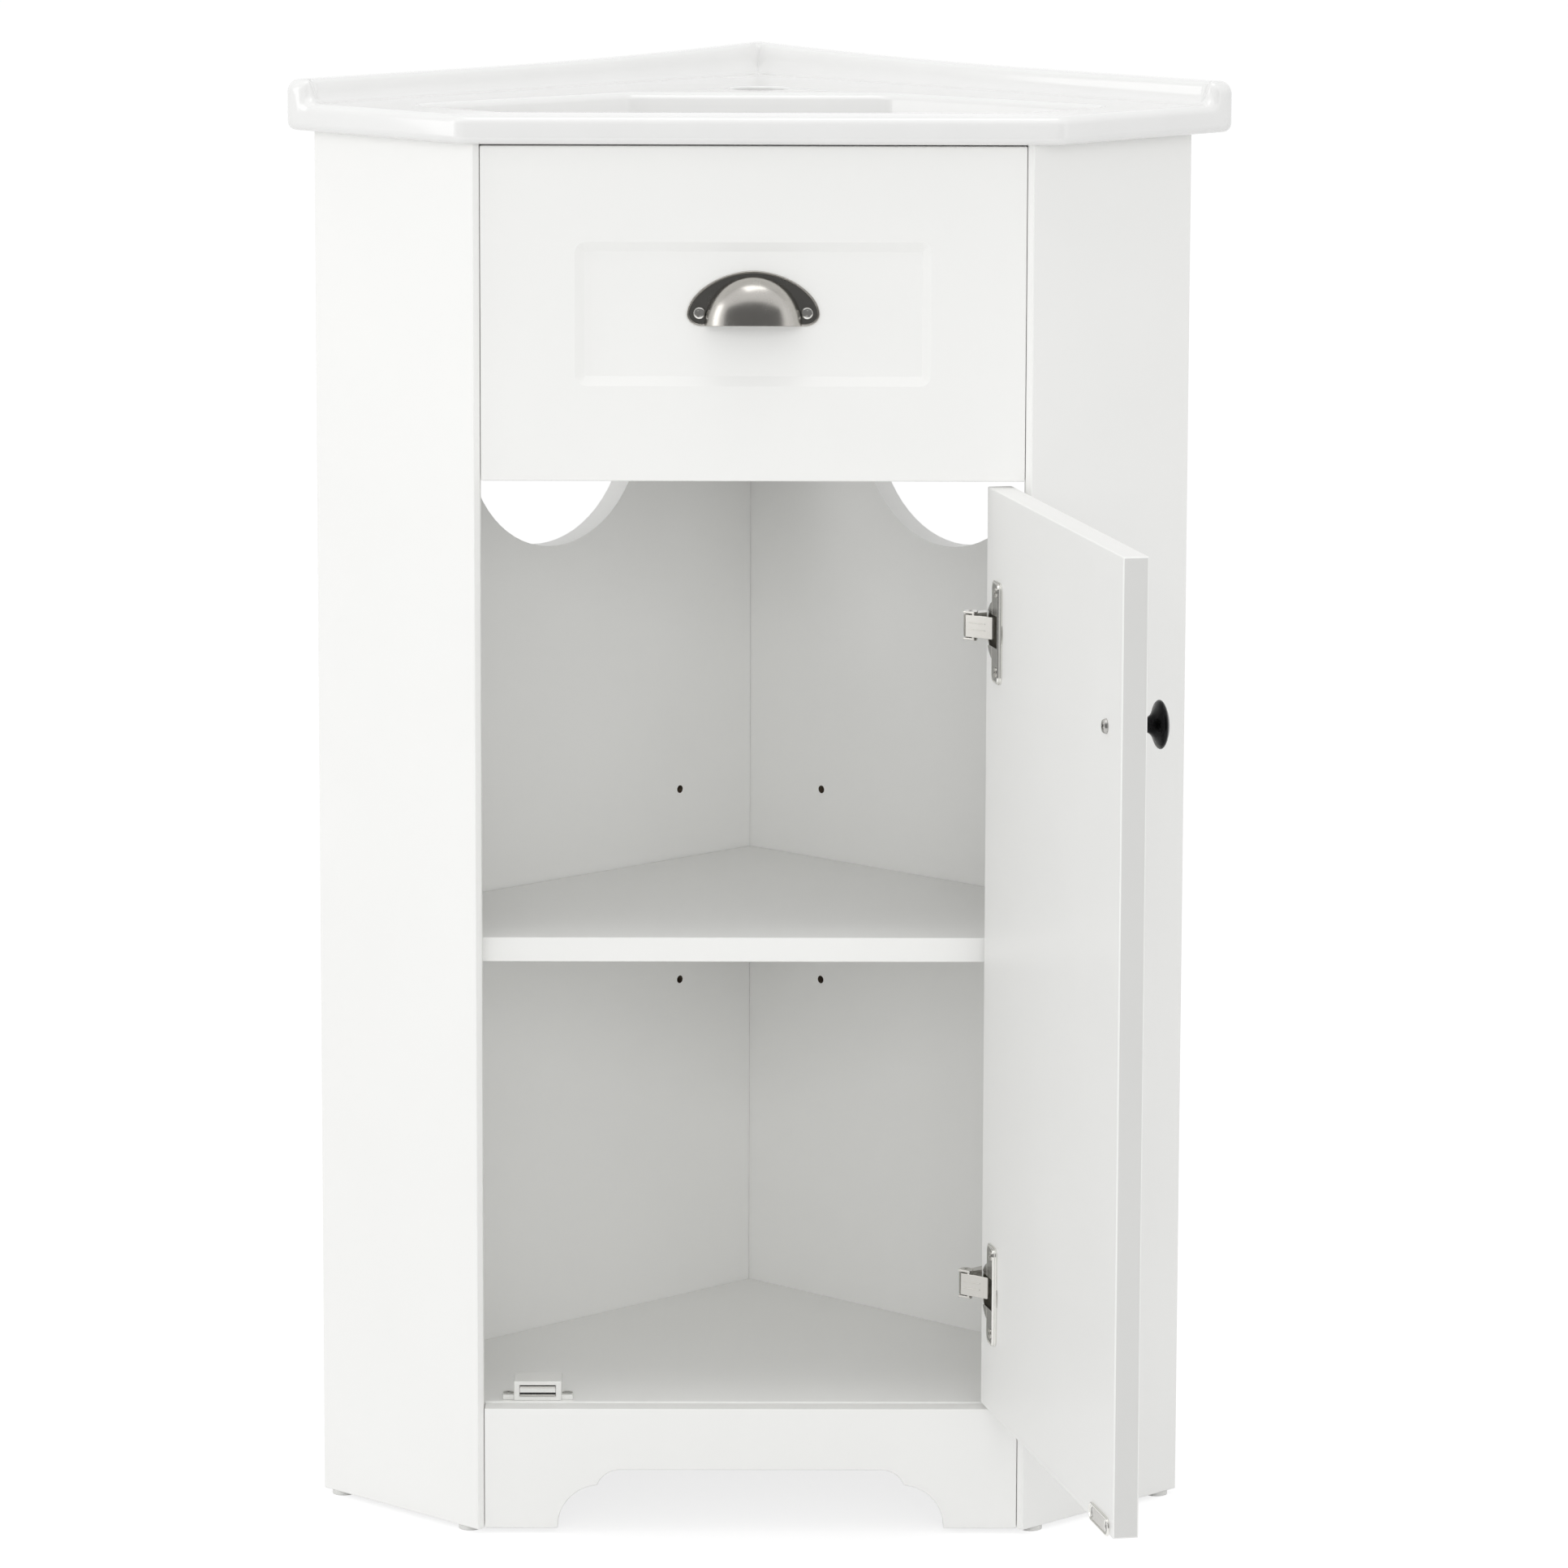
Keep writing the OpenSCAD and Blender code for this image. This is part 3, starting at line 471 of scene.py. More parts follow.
def screws(name, node, finish, heads, radius, height, door=False):
    """A group of alike screws: a head at each place, turned its own way, on a pointed shank."""
    mesh = bmesh.new()
    for i, (place, outwards, shank) in enumerate(heads):
        join(mesh, cross_head(radius, height), facing(place, outwards, 0.5 + 0.9 * i))
        core = [(0, -shank), (1.2, -shank + 2), (1.5, -shank + 3), (1.5, 0.05), (0, 0.05)]
        join(mesh, turned(core, 16), facing(place, outwards))
    if door:
        move(mesh, SWUNG)
    finished(name, mesh, finish, node)


# ---- rings


def rounded_outline(corners, radii, arcs=8):
    """Points round a polygon whose corners are rounded, arcs steps on each corner."""
    ring = []
    for i, corner in enumerate(corners):
        back = (corners[i - 1] - corner).normalized()
        ahead = (corners[(i + 1) % len(corners)] - corner).normalized()
        half = back.angle(ahead) / 2
        centre = corner + (back + ahead).normalized() * radii[i] / math.sin(half)
        start = corner + back * radii[i] / math.tan(half) - centre
        stop = corner + ahead * radii[i] / math.tan(half) - centre
        for j in range(arcs + 1):
            ring.append(centre + radii[i] * start.lerp(stop, j / arcs).normalized())
    return ring


def oblong(half_x, half_y, radius, arcs=8):
    """Points round an oblong about the origin, its corners rounded."""
    corners = ((half_x, -half_y), (half_x, half_y), (-half_x, half_y), (-half_x, -half_y))
    return rounded_outline([Vector(c) for c in corners], [radius] * 4, arcs)


def flat(points, z):
    """The points, laid at one height."""
    return [Vector((p.x, p.y, z)) for p in points]


def disc(hole, wider, z):
    """Points on a circle round a hole (x, y, radius), wider by so much, at a height."""
    x, y, r = hole
    points = arc(x, y, r + wider, r + wider, 0, 360, 48)[:-1]
    return [Vector((*point, z)) for point in points]


def loops(mesh, *rings):
    """The edges along closed rings of vertices."""
    return [mesh.edges.get((ring[i - 1], ring[i])) for ring in rings for i in range(len(ring))]


def first_ring(mesh, places):
    """A closed ring of vertices at the places."""
    ring = bmesh.ops.create_circle(mesh, segments=len(places), radius=1.0)["verts"]
    for v, place in zip(ring, places):
        v.co = place
    return ring


def grown_ring(mesh, ring, rows):
    """Extrudes a ring once for each row of places, and gives the last ring."""
    for places in rows:
        grown = bmesh.ops.extrude_edge_only(mesh, edges=loops(mesh, ring))["geom"]
        new = set(only(grown, BMVert))
        ends = [[e.other_vert(v) for e in v.link_edges] for v in ring]
        ring = [next(v for v in near if v in new) for near in ends]
        for v, place in zip(ring, places):
            v.co = place
    return ring


# ---- basin


def fallen(t, radius):
    """Drop of a quarter round of a radius at the share t of its run."""
    return radius * (1 - math.sqrt(max(0, 1 - t * t)))


class VANITY_OT_washbasin(bpy.types.Operator):
    """Models the glazed corner basin with its splash wall, bowl, tap hole and waste hole"""

    bl_idname = "vanity.washbasin"
    bl_label = "Washbasin"

    centre = 4.0
    front = -9.5
    side = 187.9
    wall = 390.1
    corner_rounds = (14, 10, 10, 10, 14)
    splash = 14.0
    splash_rise = 5.0
    rise_from = 0.4
    splash_t = 20.0
    splash_end = 6.0
    top_round = 5.0
    cove = 8.0
    tap = (0, 222, 17.5)
    waste = (0, 98, 23)
    floor = 752.0
    lip_corner = 16.0

    # each straight side's first point and length; the splash wall ends on the first and fourth
    runs = {8: 139, 17: 396, 26: 396, 35: 139, 44: 345}
    coarse = 25.0
    fine = 0.8
    fine_count = 36

    # how far inside the outline each ring lies, over the rim and the splash wall to the deck
    rim_rings = (
        0, 0.2, 0.7, 1.5, 2.6, 3.8, 5, 6.4, 8, 11.5, 15, 16.3, 17.6, 18.6, 19.4, 20,
        20.3, 20.9, 21.8, 23, 24.4, 26, 28, 30,
    )
    # the underside's rings from the rim inwards: how far inside, height above the boards
    foot_rings = (
        (0.4, 3.2), (1.4, 1.6), (3, 0.5), (5.2, 0), (34, 0), (34.6, 0.6), (35, 7),
    )
    # one half of the bowl's corners: x, its step with each millimetre inwards, y, its step
    bowl_corners = ((152, -0.41, 26, 1), (208, -1.4, 80, 0), (78, -0.3, 180, -1))
    # rings of the bowl and of its outer shell, downwards: how far inside, corner radius, height
    bowl_rings = (
        (1.2, 17, 852), (6, 20, 820), (11, 23, 794), (14, 25, 778), (17.5, 27, 769),
        (22, 29, 761), (28, 31, 755.5), (34, 32, 753.2), (44, 32, 752),
    )
    shell_rings = (
        (-6.5, 20, 852), (-5.5, 21, 848), (-3, 24, 830), (1, 26, 800), (6, 28, 775),
        (11, 31, 761), (17, 33, 751), (24, 34, 744.5), (30, 34, 742),
    )
    # rings down the two holes: wider than the bore by, height against the face round it
    waste_rings = ((1.6, -1), (0.5, -1.8), (0, -3), (0, -10))
    tap_rings = ((1, -0.15), (0.3, -0.7), (0, -1.6), (0, -10))

    def rim(self, k):
        """The rim's outline, k inside; the rings draw closer at the front than at the walls."""
        near = k if k < 6 else 6 + 0.4 * (k - 6)
        side, wall = self.side - near * ROOT_2, self.wall - k * ROOT_2
        front = self.front + near
        corners = [
            Vector((side + front, front)), Vector(((wall + side) / 2, (wall - side) / 2)),
            Vector((0, wall)), Vector((-(wall + side) / 2, (wall - side) / 2)),
            Vector((-side - front, front)),
        ]
        rounds = [max(r - near, 1.2) for r in self.corner_rounds]
        rounds[2] = self.corner_rounds[2]
        ring = rounded_outline(corners, rounds)
        return [
            ring[i].lerp(ring[(i + 1) % len(ring)], share)
            for i, shares in self.stations(len(ring)) for share in shares
        ]

    def stations(self, count):
        """Shares of each side where the outline has a point, close at the splash wall's ends."""
        for i in range(count):
            if i not in self.runs:
                yield i, (0,)
                continue
            steps = round(self.runs[i] / self.coarse)
            shares = {j / steps for j in range(steps)}
            ends = [j * self.fine / self.runs[i] for j in range(1, self.fine_count + 1)]
            shares |= {1 - e for e in ends} if i == 8 else set(ends) if i == 35 else set()
            yield i, sorted(shares)

    def upper(self, point, k):
        """Height of the upper side at a point of the ring that lies k inside the outline."""
        inwards = (self.wall - abs(point.x) - point.y) / ROOT_2
        from_side = (self.side - abs(point.x) + point.y) / ROOT_2
        end, top = self.splash_end, self.top_round
        if from_side < end:
            inwards += fallen(1 - from_side / end, end)
        back = 1 - abs(point.x) * 2 / (self.wall + self.side)
        rise = max(0, (back - self.rise_from) / (1 - self.rise_from)) ** 2
        tall = self.splash + self.splash_rise * rise
        if inwards <= self.splash_t - top:
            height = tall
        elif inwards <= self.splash_t:
            height = tall - fallen((inwards - self.splash_t + top) / top, top)
        else:
            height = fallen(max(0, 1 - (inwards - self.splash_t) / self.cove), tall - top)
        edge = top + 3.0 * height / tall
        return DECK + height - (fallen(1 - k / edge, edge) if k < edge else 0)

    def bowl(self, k, radius):
        """The bowl's outline, k inside, with corners of a radius."""
        right = [(x + k * dx, y + k * dy) for x, dx, y, dy in self.bowl_corners]
        left = [(-x, y) for x, y in reversed(right)]
        return rounded_outline([Vector(c) for c in right + left], [radius] * 6)

    def execute(self, context):
        mesh = self.body(context.scene.vanity_sizes.bowl_lip * MM)
        bmesh.ops.translate(mesh, vec=(self.centre, 0, 0), verts=mesh.verts)
        finished("washbasin_glazed", mesh, "glazed_vitreous_china", "washbasin", sharp=50)
        return {"FINISHED"}

    def body(self, lip):
        """The basin as one closed shell of rings, about its own middle."""
        mesh = bmesh.new()
        # outer face, then over the rim and the splash wall to the deck
        low = first_ring(mesh, flat(self.rim(0), RIM_LOW + 5))
        ring = grown_ring(mesh, low, [
            [Vector((p.x, p.y, self.upper(p, k))) for p in self.rim(k)] for k in self.rim_rings
        ])
        deck = loops(mesh, ring)

        # bowl, from its lip down to the waste hole
        ring = first_ring(mesh, flat(self.bowl(-lip - 1.5, self.lip_corner), DECK))
        deck += loops(mesh, ring)
        rows = []
        for t in map(math.radians, range(0, 84, 12)):
            outline = self.bowl(-lip * (1 - math.sin(t)), self.lip_corner)
            rows.append(flat(outline, DECK - lip * (1 - math.cos(t))))
        rows += [flat(self.bowl(k, r), z) for k, r, z in self.bowl_rings]
        ring = grown_ring(mesh, ring, rows)
        drain = first_ring(mesh, disc(self.waste, 3, self.floor - 0.6))
        fill(mesh, loops(mesh, ring, drain))
        drain = grown_ring(mesh, drain, [
            disc(self.waste, more, self.floor + z) for more, z in self.waste_rings
        ])

        # tap hole through the deck
        tap = first_ring(mesh, disc(self.tap, 2, DECK))
        deck += loops(mesh, tap)
        tap = grown_ring(mesh, tap, [disc(self.tap, more, DECK + z) for more, z in self.tap_rings])
        fill(mesh, deck)

        # underside: foot of the rim, pocket, and the bowl's outer shell
        foot = grown_ring(mesh, low, [flat(self.rim(k), RIM_LOW + z) for k, z in self.foot_rings])
        shell = first_ring(mesh, flat(self.bowl(-8, 20), RIM_LOW + 7))
        fill(mesh, loops(mesh, foot, shell, tap))
        shell = grown_ring(mesh, shell, [flat(self.bowl(k, r), z) for k, r, z in self.shell_rings])
        fill(mesh, loops(mesh, shell, drain))
        bmesh.ops.remove_doubles(mesh, verts=mesh.verts, dist=1e-4)
        face_out(mesh)
        return mesh


# ---- boards


class VANITY_OT_boards(bpy.types.Operator):
    """Rounds the edges of the cabinet's boards and the door and wraps them in foil"""

    bl_idname = "vanity.boards"
    bl_label = "Boards and door"

    # the drilled boards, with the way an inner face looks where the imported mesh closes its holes
    drilled = {
        "left_side_panel": (1, 1, 0), "right_side_panel": (-1, 1, 0), "left_back_panel": None,
        "right_back_panel": (-1, -1, 0), "floor_panel": None, "shelf": None, "door": None,
    }

    def execute(self, context):
        round_mm = context.scene.vanity_sizes.board_round * MM
        finish = "pressed_pvc_foil raw_fibreboard melamine_edge_band"
        for node, inner in self.drilled.items():
            made = softened(node + "_foil", node, finish, round_mm, 11.9, core=9, inner=inner)
        # the door comes last; its free edge has the edge band, darker as painted shade
        free_edge = SWUNG.to_3x3() @ Vector((-1, 0, 0))
        for face in made.data.polygons:
            if face.normal.dot(free_edge) > 0.99 and face.material_index == 0:
                face.material_index = 2
        softened("plinth_foil", "plinth", "pressed_pvc_foil", round_mm, 1.1)
        return {"FINISHED"}


class VANITY_OT_drawer_front(bpy.types.Operator):
    """Models the fixed drawer front with its sunk panel"""

    bl_idname = "vanity.drawer_front"
    bl_label = "Drawer front"

    recess = (212, 86)
    slope = 6.0
    depth = 3.0
    crease = 1.5

    def execute(self, context):
        sizes = context.scene.vanity_sizes
        low, high = (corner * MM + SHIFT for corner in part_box("drawer_front"))
        middle = (low + high) / 2
        edge = sizes.board_round * MM * 1.2
        mesh = box(high - low, middle, edge, 4)
        face = min(mesh.faces, key=lambda f: f.calc_center_median().y - f.calc_area() * 1e-4)
        wide = (high.x - low.x - 2 * edge - self.recess[0]) / 2
        bmesh.ops.inset_individual(mesh, faces=[face], thickness=wide)
        for v in face.verts:
            v.co.z = middle.z + math.copysign(self.recess[1] / 2, v.co.z - middle.z)
            v.co.x = middle.x + math.copysign(self.recess[0] / 2, v.co.x - middle.x)
        rounded(mesh, list(face.verts), sizes.recess_round * MM, 6, "VERTICES")
        face = min(
            (f for f in mesh.faces if abs(f.calc_center_median().y - low.y) < 0.01),
            key=lambda f: (f.calc_center_median() - middle).length + 1e3 / f.calc_area()
        )
        outer = list(face.edges)
        bmesh.ops.inset_individual(mesh, faces=[face], thickness=self.slope, depth=0)
        for v in face.verts:
            v.co.y += self.depth
        rounded(mesh, outer + list(face.edges), self.crease, 4)
        face_out(mesh)
        finished("drawer_front_foil", mesh, "pressed_pvc_foil", "drawer_front")
        return {"FINISHED"}


# ---- pull, knob


class VANITY_OT_cup_pull(bpy.types.Operator):
    """Models the cup pull: pressed half dome on a plate with lobed ends, and its screws"""

    bl_idname = "vanity.cup_pull"
    bl_label = "Cup pull"

    low = 738.0
    dome_r = 29.1
    dome_out = 21.0
    # the dome's rolled lip: how far outside its foot, and height
    lip = ((0.8, 0), (0.5, 0.12), (0.22, 0.4), (0.06, 0.9))
    lip_round = 0.5
    # stands the dome up, a little taller than wide, its mouth rising to the front
    upright = ((1, 0, 0, 0), (0, 0, -1, 0), (0, 1.02, 0.1, 0), (0, 0, 0, 1))

    plate_t = 1.6
    plate_half = 39.6
    plate_rise = 25.9
    hollow = 1.11
    # middle and radii of the plate's round lower ends
    lobe = (30.5, 7.7, 9.1, 7.3)
    # steps over the plate's rim to its sunk face: inwards, and into the plate
    crest_t = 0.7
    crest = (
        (0.1, -0.3), (0.25, -0.28), (0.35, -0.12), (0.1, 0), (0.35, 0.12), (0.25, 0.28),
        (0.1, 0.3),
    )
    screw = (32, 746.4)

    def execute(self, context):
        self.plate()
        self.dome(context.scene.vanity_sizes.pull_shell * MM)
        x, z = self.screw
        heads = [((s * x, PULL_FACE - self.plate_t, z), (0, -1, 0), 12) for s in (-1, 1)]
        # the pull's screws take nickel lightened as painted highlight
        screws("pull_screws_cross", "pull_screws", "bright_nickel", heads, 3.6, 1.5)
        return {"FINISHED"}

    def plate(self):
        """Half oval with hollow shoulders and round ends, its face sunk in a raised rim."""
        foot = self.lobe[1]
        side = [
            (self.plate_half * max(c, 0) ** self.hollow,
             foot + self.plate_rise * max(h, 0) ** self.hollow)
            for c, h in arc(0, 0, 1, 1, 90, 0, 24)
        ]
        side += arc(*self.lobe, -10, -90, 10)
        outline = side + [(-x, z) for x, z in reversed(side[1:])]
        mesh = bmesh.new()
        face = mesh.faces.new([mesh.verts.new((x, PULL_FACE, self.low + z)) for x, z in outline])
        grown = bmesh.ops.extrude_face_region(mesh, geom=[face])["geom"]
        for v in only(grown, BMVert):
            v.co.y -= self.plate_t - self.crest_t
        face_out(mesh)
        front = only(grown, BMFace)[0]
        for inset, sunk in self.crest:
            bmesh.ops.inset_region(mesh, faces=[front], thickness=inset, use_even_offset=True)
            for v in front.verts:
                v.co.y += sunk
        # the sunk face takes nickel darkened as a painted dark reflection
        front.material_index = 1
        finished("pull_plate", mesh, "satin_nickel smoked_nickel", "cup_pull", sharp=60)

    def dome(self, shell):
        """Quarter oval turned half round the outward axis, with a rolled lower lip."""
        foot = [(self.dome_r + r, z) for r, z in self.lip]
        outer = foot + arc(0, 0, self.dome_r, self.dome_out, 3, 90, 24)
        inner = arc(0, 0, self.dome_r - shell, self.dome_out - shell, 90, 0, 24)
        half = turned(outer + inner, 72, math.pi)
        bmesh.ops.delete(half, geom=[e for e in half.edges if e.is_wire], context="EDGES")
        fill(half, [e for e in half.edges if e.is_boundary])
        face_out(half)
        lips = [e for e in sharp_edges(half, 60) if all(abs(v.co.y) < 1e-3 for v in e.verts)]
        rounded(half, lips, self.lip_round)
        move(half, Matrix(self.upright))
        bmesh.ops.translate(half, vec=(0, PULL_FACE - 0.2, self.low + 0.6), verts=half.verts)
        face_out(half)
        finished("pull_dome", half, "satin_nickel", "cup_pull")


class VANITY_OT_knob(bpy.types.Operator):
    """Turns the door knob and its screw"""

    bl_idname = "vanity.knob"
    bl_label = "Knob"

    place = (-126, FRONT_Y, 542.5)
    # waisted neck under a flared, domed head: radius, height above the door
    profile = (
        (0, 0), (5.6, 0), (5.9, 0.3), (5.9, 0.9), (5.2, 1.6), (4.5, 3), (4.2, 4.8),
        (4.15, 6.4), (4.2, 7.8), (4.7, 9.2), (5.8, 10.6), (7.5, 11.8), (9.5, 12.7), (11.3, 13.5),
        (12.7, 14.2), (13.5, 14.9), (13.9, 15.6), (13.95, 16.2), (13.6, 16.9), (12.7, 17.6),
        (11.2, 18.4), (9.2, 19.2), (6.8, 19.9), (4.2, 20.4), (1.8, 20.6), (0, 20.65),
    )

    def execute(self, context):
        knob = turned(self.profile, 72)
        move(knob, SWUNG @ facing(self.place, (0, -1, 0)))
        finished("knob_turned", knob, "black_nickel", "door_knob")
        x, _, z = self.place
        heads = [((x, BACK_Y, z), (0, 1, 0), 22)]
        screws("knob_screw_cross", "knob_screw", "bright_zinc", heads, 4.3, 2.4, True)
        return {"FINISHED"}


# ---- hinges, catch, plate


def on_door(x, z):
    """Matrix that lays a flat shape on the open door's inner face, its upper side inwards."""
    turn = Matrix.Rotation(math.radians(-90), 4, "X")
    return SWUNG @ (Matrix.Translation((x, BACK_Y, z)) @ turn)


class VANITY_OT_hinges(bpy.types.Operator):
    """Softens the stamped hinge parts and adds links, the cups' raised rims and cross screws"""

    bl_idname = "vanity.hinges"
    bl_label = "Hinges"

    screw_z = 24.0
    # the outer link about its pin, seen from above: bent plate, and the foot of its ears
    nose = (130.5, 15)
    link_turn = math.radians(-38.39)
    link_half = 6.7
    blank = (
        (-3.3, -0.5), (-3.25, -1.8), (-2.8, -3.1), (-1.9, -4.1), (-0.7, -4.75), (0.6, -5),
        (19.6, -5), (20.2, -4.7), (20.3, -4.1), (19.9, -3.8), (0.8, -3.8), (-0.3, -3.6),
        (-1.2, -3), (-1.85, -2.2), (-2.15, -1.4), (-2.2, -0.5),
    )
    ear_z = 8.0
    ear_t = 1.5
    ear_foot = ((-2.2, -4.6), (6.2, -4.6), (7.2, -3.4), (4.2, 2))
    # the cup's flange: half width, half height, corner radius
    flange = (11, 30.5, 5)
    # rings round its border: how far inside, least height, share of the height that tapers
    border = (
        (-0.1, 0, 0), (-0.1, 1, 0), (0.05, 1.2, 0), (0.4, 1.25, 0), (0.45, 1.3, 0.7),
        (0.55, 1.3, 0.9), (0.8, 1.35, 1), (1.2, 1.35, 1), (1.5, 1.3, 0.9), (1.65, 1.3, 0.7),
        (1.7, 1, 0),
    )
    border_tall = 2.2
    border_taper = 0.082
    mouth = 9.6
    # the plates above and below the mouth: their side round the cup, and their far end
    bay_round = (6, 0, 17.7, 17.7, 37, 76, 6)
    bay_end = ((9.6, 26), (8.4, 28.6), (6, 29.2), (-6, 29.2), (-8.4, 28.6), (-9.6, 26))

    def execute(self, context):
        for level, z in zip(("upper", "lower"), HINGE_Z):
            for part in ("arm", "base", "cup"):
                node = f"{level}_hinge_{part}"
                softened(node + "_nickel", node, "nickel_plate", 0.25, 0.9, 2)
            self.rim(level, z)
            self.link(level, z)
        heads = [
            ((CUP_X, BACK_Y + 1.25, z + s * self.screw_z), (0, 1, 0), 9)
            for z in HINGE_Z for s in (-1, 1)
        ]
        screws("cup_screws_cross", "cup_screws", "nickel_plate", heads, 3.2, 0.9, True)
        return {"FINISHED"}

    def link(self, level, z):
        """Outer link: a bent plate with two beads, and an ear on the pin above and below it."""
        mesh = extruded(self.blank, -self.link_half, self.link_half, 0.25)
        ear = arc(0, 0, 3.1, 3.1, 50, 200, 12) + list(self.ear_foot)
        for side in (-1, 1):
            low = side * self.ear_z - self.ear_t / 2
            join(mesh, box((12, 0.5, 0.6), (8.4, -5.05, side * 2), 0.22))
            join(mesh, extruded(ear, low, low + self.ear_t, 0.3))
            join(mesh, box((1.6, 1.2, 1.4), (5.4, -4.2, side * 7), 0.2))
        move(mesh, Matrix.Translation((*self.nose, z)) @ Matrix.Rotation(self.link_turn, 4, "Z"))
        finished(f"{level}_hinge_link_plate", mesh, "nickel_plate", f"{level}_hinge_link")

    def rim(self, level, z):
        """Raised border round the flange, open where the link passes."""
        border = bmesh.new()
        rows = []
        for inset, least, share in self.border:
            outline = oblong(*(size - inset for size in self.flange))
            tall = [share * (self.border_tall - self.border_taper * p.x) for p in outline]
            rows.append([Vector((*p, max(least, up))) for p, up in zip(outline, tall)])
        first = first_ring(border, rows[0])
        ring = grown_ring(border, first, rows[1:])
        bmesh.ops.bridge_loops(border, edges=loops(border, first, ring))
        for side in (-1, 1):
            bmesh.ops.bisect_plane(
                border, geom=[*border.verts, *border.edges, *border.faces],
                plane_co=(0, side * self.mouth, 0), plane_no=(0, 1, 0)
            )
        middles = [(f, f.calc_center_median()) for f in border.faces]
        gap = [f for f, middle in middles if middle.x > 8 and abs(middle.y) < self.mouth]
        bmesh.ops.delete(border, geom=gap, context="FACES")
        for side in (-1, 1):
            end = [e for e in border.edges if e.is_boundary and e.verts[0].co.y * side > 0]
            fill(border, end, normal=(0, side, 0))
        bay = [(-9.6, self.mouth), (16.5, self.mouth), *arc(*self.bay_round), *self.bay_end]
        for outline in (bay, [(x, -y) for x, y in reversed(bay)]):
            plate = extruded(outline, 0.1, 1.3, 0.15)
            for f in plate.faces:
                f.material_index = 1
            join(border, plate)
        face_out(border)
        move(border, on_door(CUP_X, z))
        # the border takes nickel lightened as painted highlight, the plates round the cup nickel darkened as
        # painted shade
        finished(
            f"{level}_hinge_border", border, "bright_nickel dark_nickel", f"{level}_hinge_cup"
        )


class VANITY_OT_catch(bpy.types.Operator):
    """Moulds the magnetic catch and finishes its plate on the door"""

    bl_idname = "vanity.catch"
    bl_label = "Catch"

    middle = -130.0
    front = BACK_Y + 2.1
    mouth = 21.8
    # cover and pole bars: depth, height, middle behind the front and above the floor board, edge
    cover = (0.5, 2.9, 0.25, 6.45, 0.12)
    upper_pole = (15, 1, 7.2, 8.45, 0.1)
    lower_pole = (15, 1.2, 7.2, 3.3, 0.1)
    ear_screws = (18, 8, 3)

    strike_z = FLOOR_TOP + 6.0
    strike_half = (22, 5.5, 5.4)
    # rings over the strike plate's border to its sunk face: how far inside, height
    strike_rings = (
        (0, 0), (0, 0.9), (0.12, 1.2), (0.45, 1.4), (0.9, 1.4), (1.25, 1.25), (1.5, 0.95),
        (1.7, 0.85),
    )
    strike_hole = (16, 2.9)
    # rings down its countersunk holes: wider by, height
    hole_rings = ((0.9, 0.85), (0.7, 0.8), (0, 0.35), (0, 0))

    def execute(self, context):
        softened("catch_body_moulded", "catch_body", "moulded_abs", 0.6, 2.5)
        poles = self.bar(*self.upper_pole)
        join(poles, self.bar(*self.lower_pole))
        finished("catch_cover", self.bar(*self.cover), "moulded_abs", "catch_body")
        finished("catch_pole_bars", poles, "nickel_plate", "catch_poles")
        self.strike()
        x, y, z = self.ear_screws
        ears = [
            ((self.middle + s * x, self.front + y, FLOOR_TOP + z), (0, 0, 1), 12)
            for s in (-1, 1)
        ]
        screws("catch_screws_cross", "catch_screws", "bright_zinc", ears, 3.2, 0.6)
        plate = [
            ((self.middle + s * self.strike_hole[0], BACK_Y + 0.3, self.strike_z), (0, 1, 0), 9)
            for s in (-1, 1)
        ]
        screws("strike_screws_cross", "strike_screws", "bright_zinc", plate, 2.7, 0.6, True)
        return {"FINISHED"}

    def bar(self, deep, tall, behind, up, edge):
        """A bar as wide as the catch's mouth."""
        middle = (self.middle, self.front + behind, FLOOR_TOP + up)
        return box((self.mouth, deep, tall), middle, edge)

    def strike(self):
        """Strike plate: round-ended, with a raised border and two countersunk holes."""
        mesh = bmesh.new()
        rows = [
            flat(oblong(*(size - inset for size in self.strike_half), 10), up)
            for inset, up in self.strike_rings
        ]
        base = first_ring(mesh, rows[0])
        upper = loops(mesh, grown_ring(mesh, base, rows[1:]))
        lower = loops(mesh, base)
        x, radius = self.strike_hole
        for side in (-1, 1):
            rows = [disc((side * x, 0, radius), wider, up) for wider, up in self.hole_rings]
            rim = first_ring(mesh, rows[0])
            upper += loops(mesh, rim)
            lower += loops(mesh, grown_ring(mesh, rim, rows[1:]))
        for f in only(fill(mesh, upper), BMFace):
            f.material_index = 1
        fill(mesh, lower)
        face_out(mesh)
        move(mesh, on_door(self.middle, self.strike_z))
        # the border and countersinks take nickel lightened as painted highlight, the sunk face plain nickel plate
        finished("strike_plate_steel", mesh, "bright_nickel nickel_plate", "strike_plate")


class VANITY_OT_fittings(bpy.types.Operator):
    """Gives the fittings that keep their CAD shape their finishes"""

    bl_idname = "vanity.fittings"
    bl_label = "Inner fittings"

    plain = {
        "bright_zinc": "block_screws cam_locks cam_bolts corner_screws",
        "nickel_plate": "shelf_pins upper_hinge_pin lower_hinge_pin hinge_screws",
        "bare_beech": "dowels",
        "sintered_ferrite": "catch_magnet",
    }

    def execute(self, context):
        for node in ("floor_glides", "corner_blocks"):
            softened(node + "_moulded", node, "moulded_polyethylene", 0.4, 1, 2)
        for finish, nodes in self.plain.items():
            for node in nodes.split():
                frame["nodes"][node].material_slots[0].material = finishes[finish]
        return {"FINISHED"}


# ---- finishes, stage


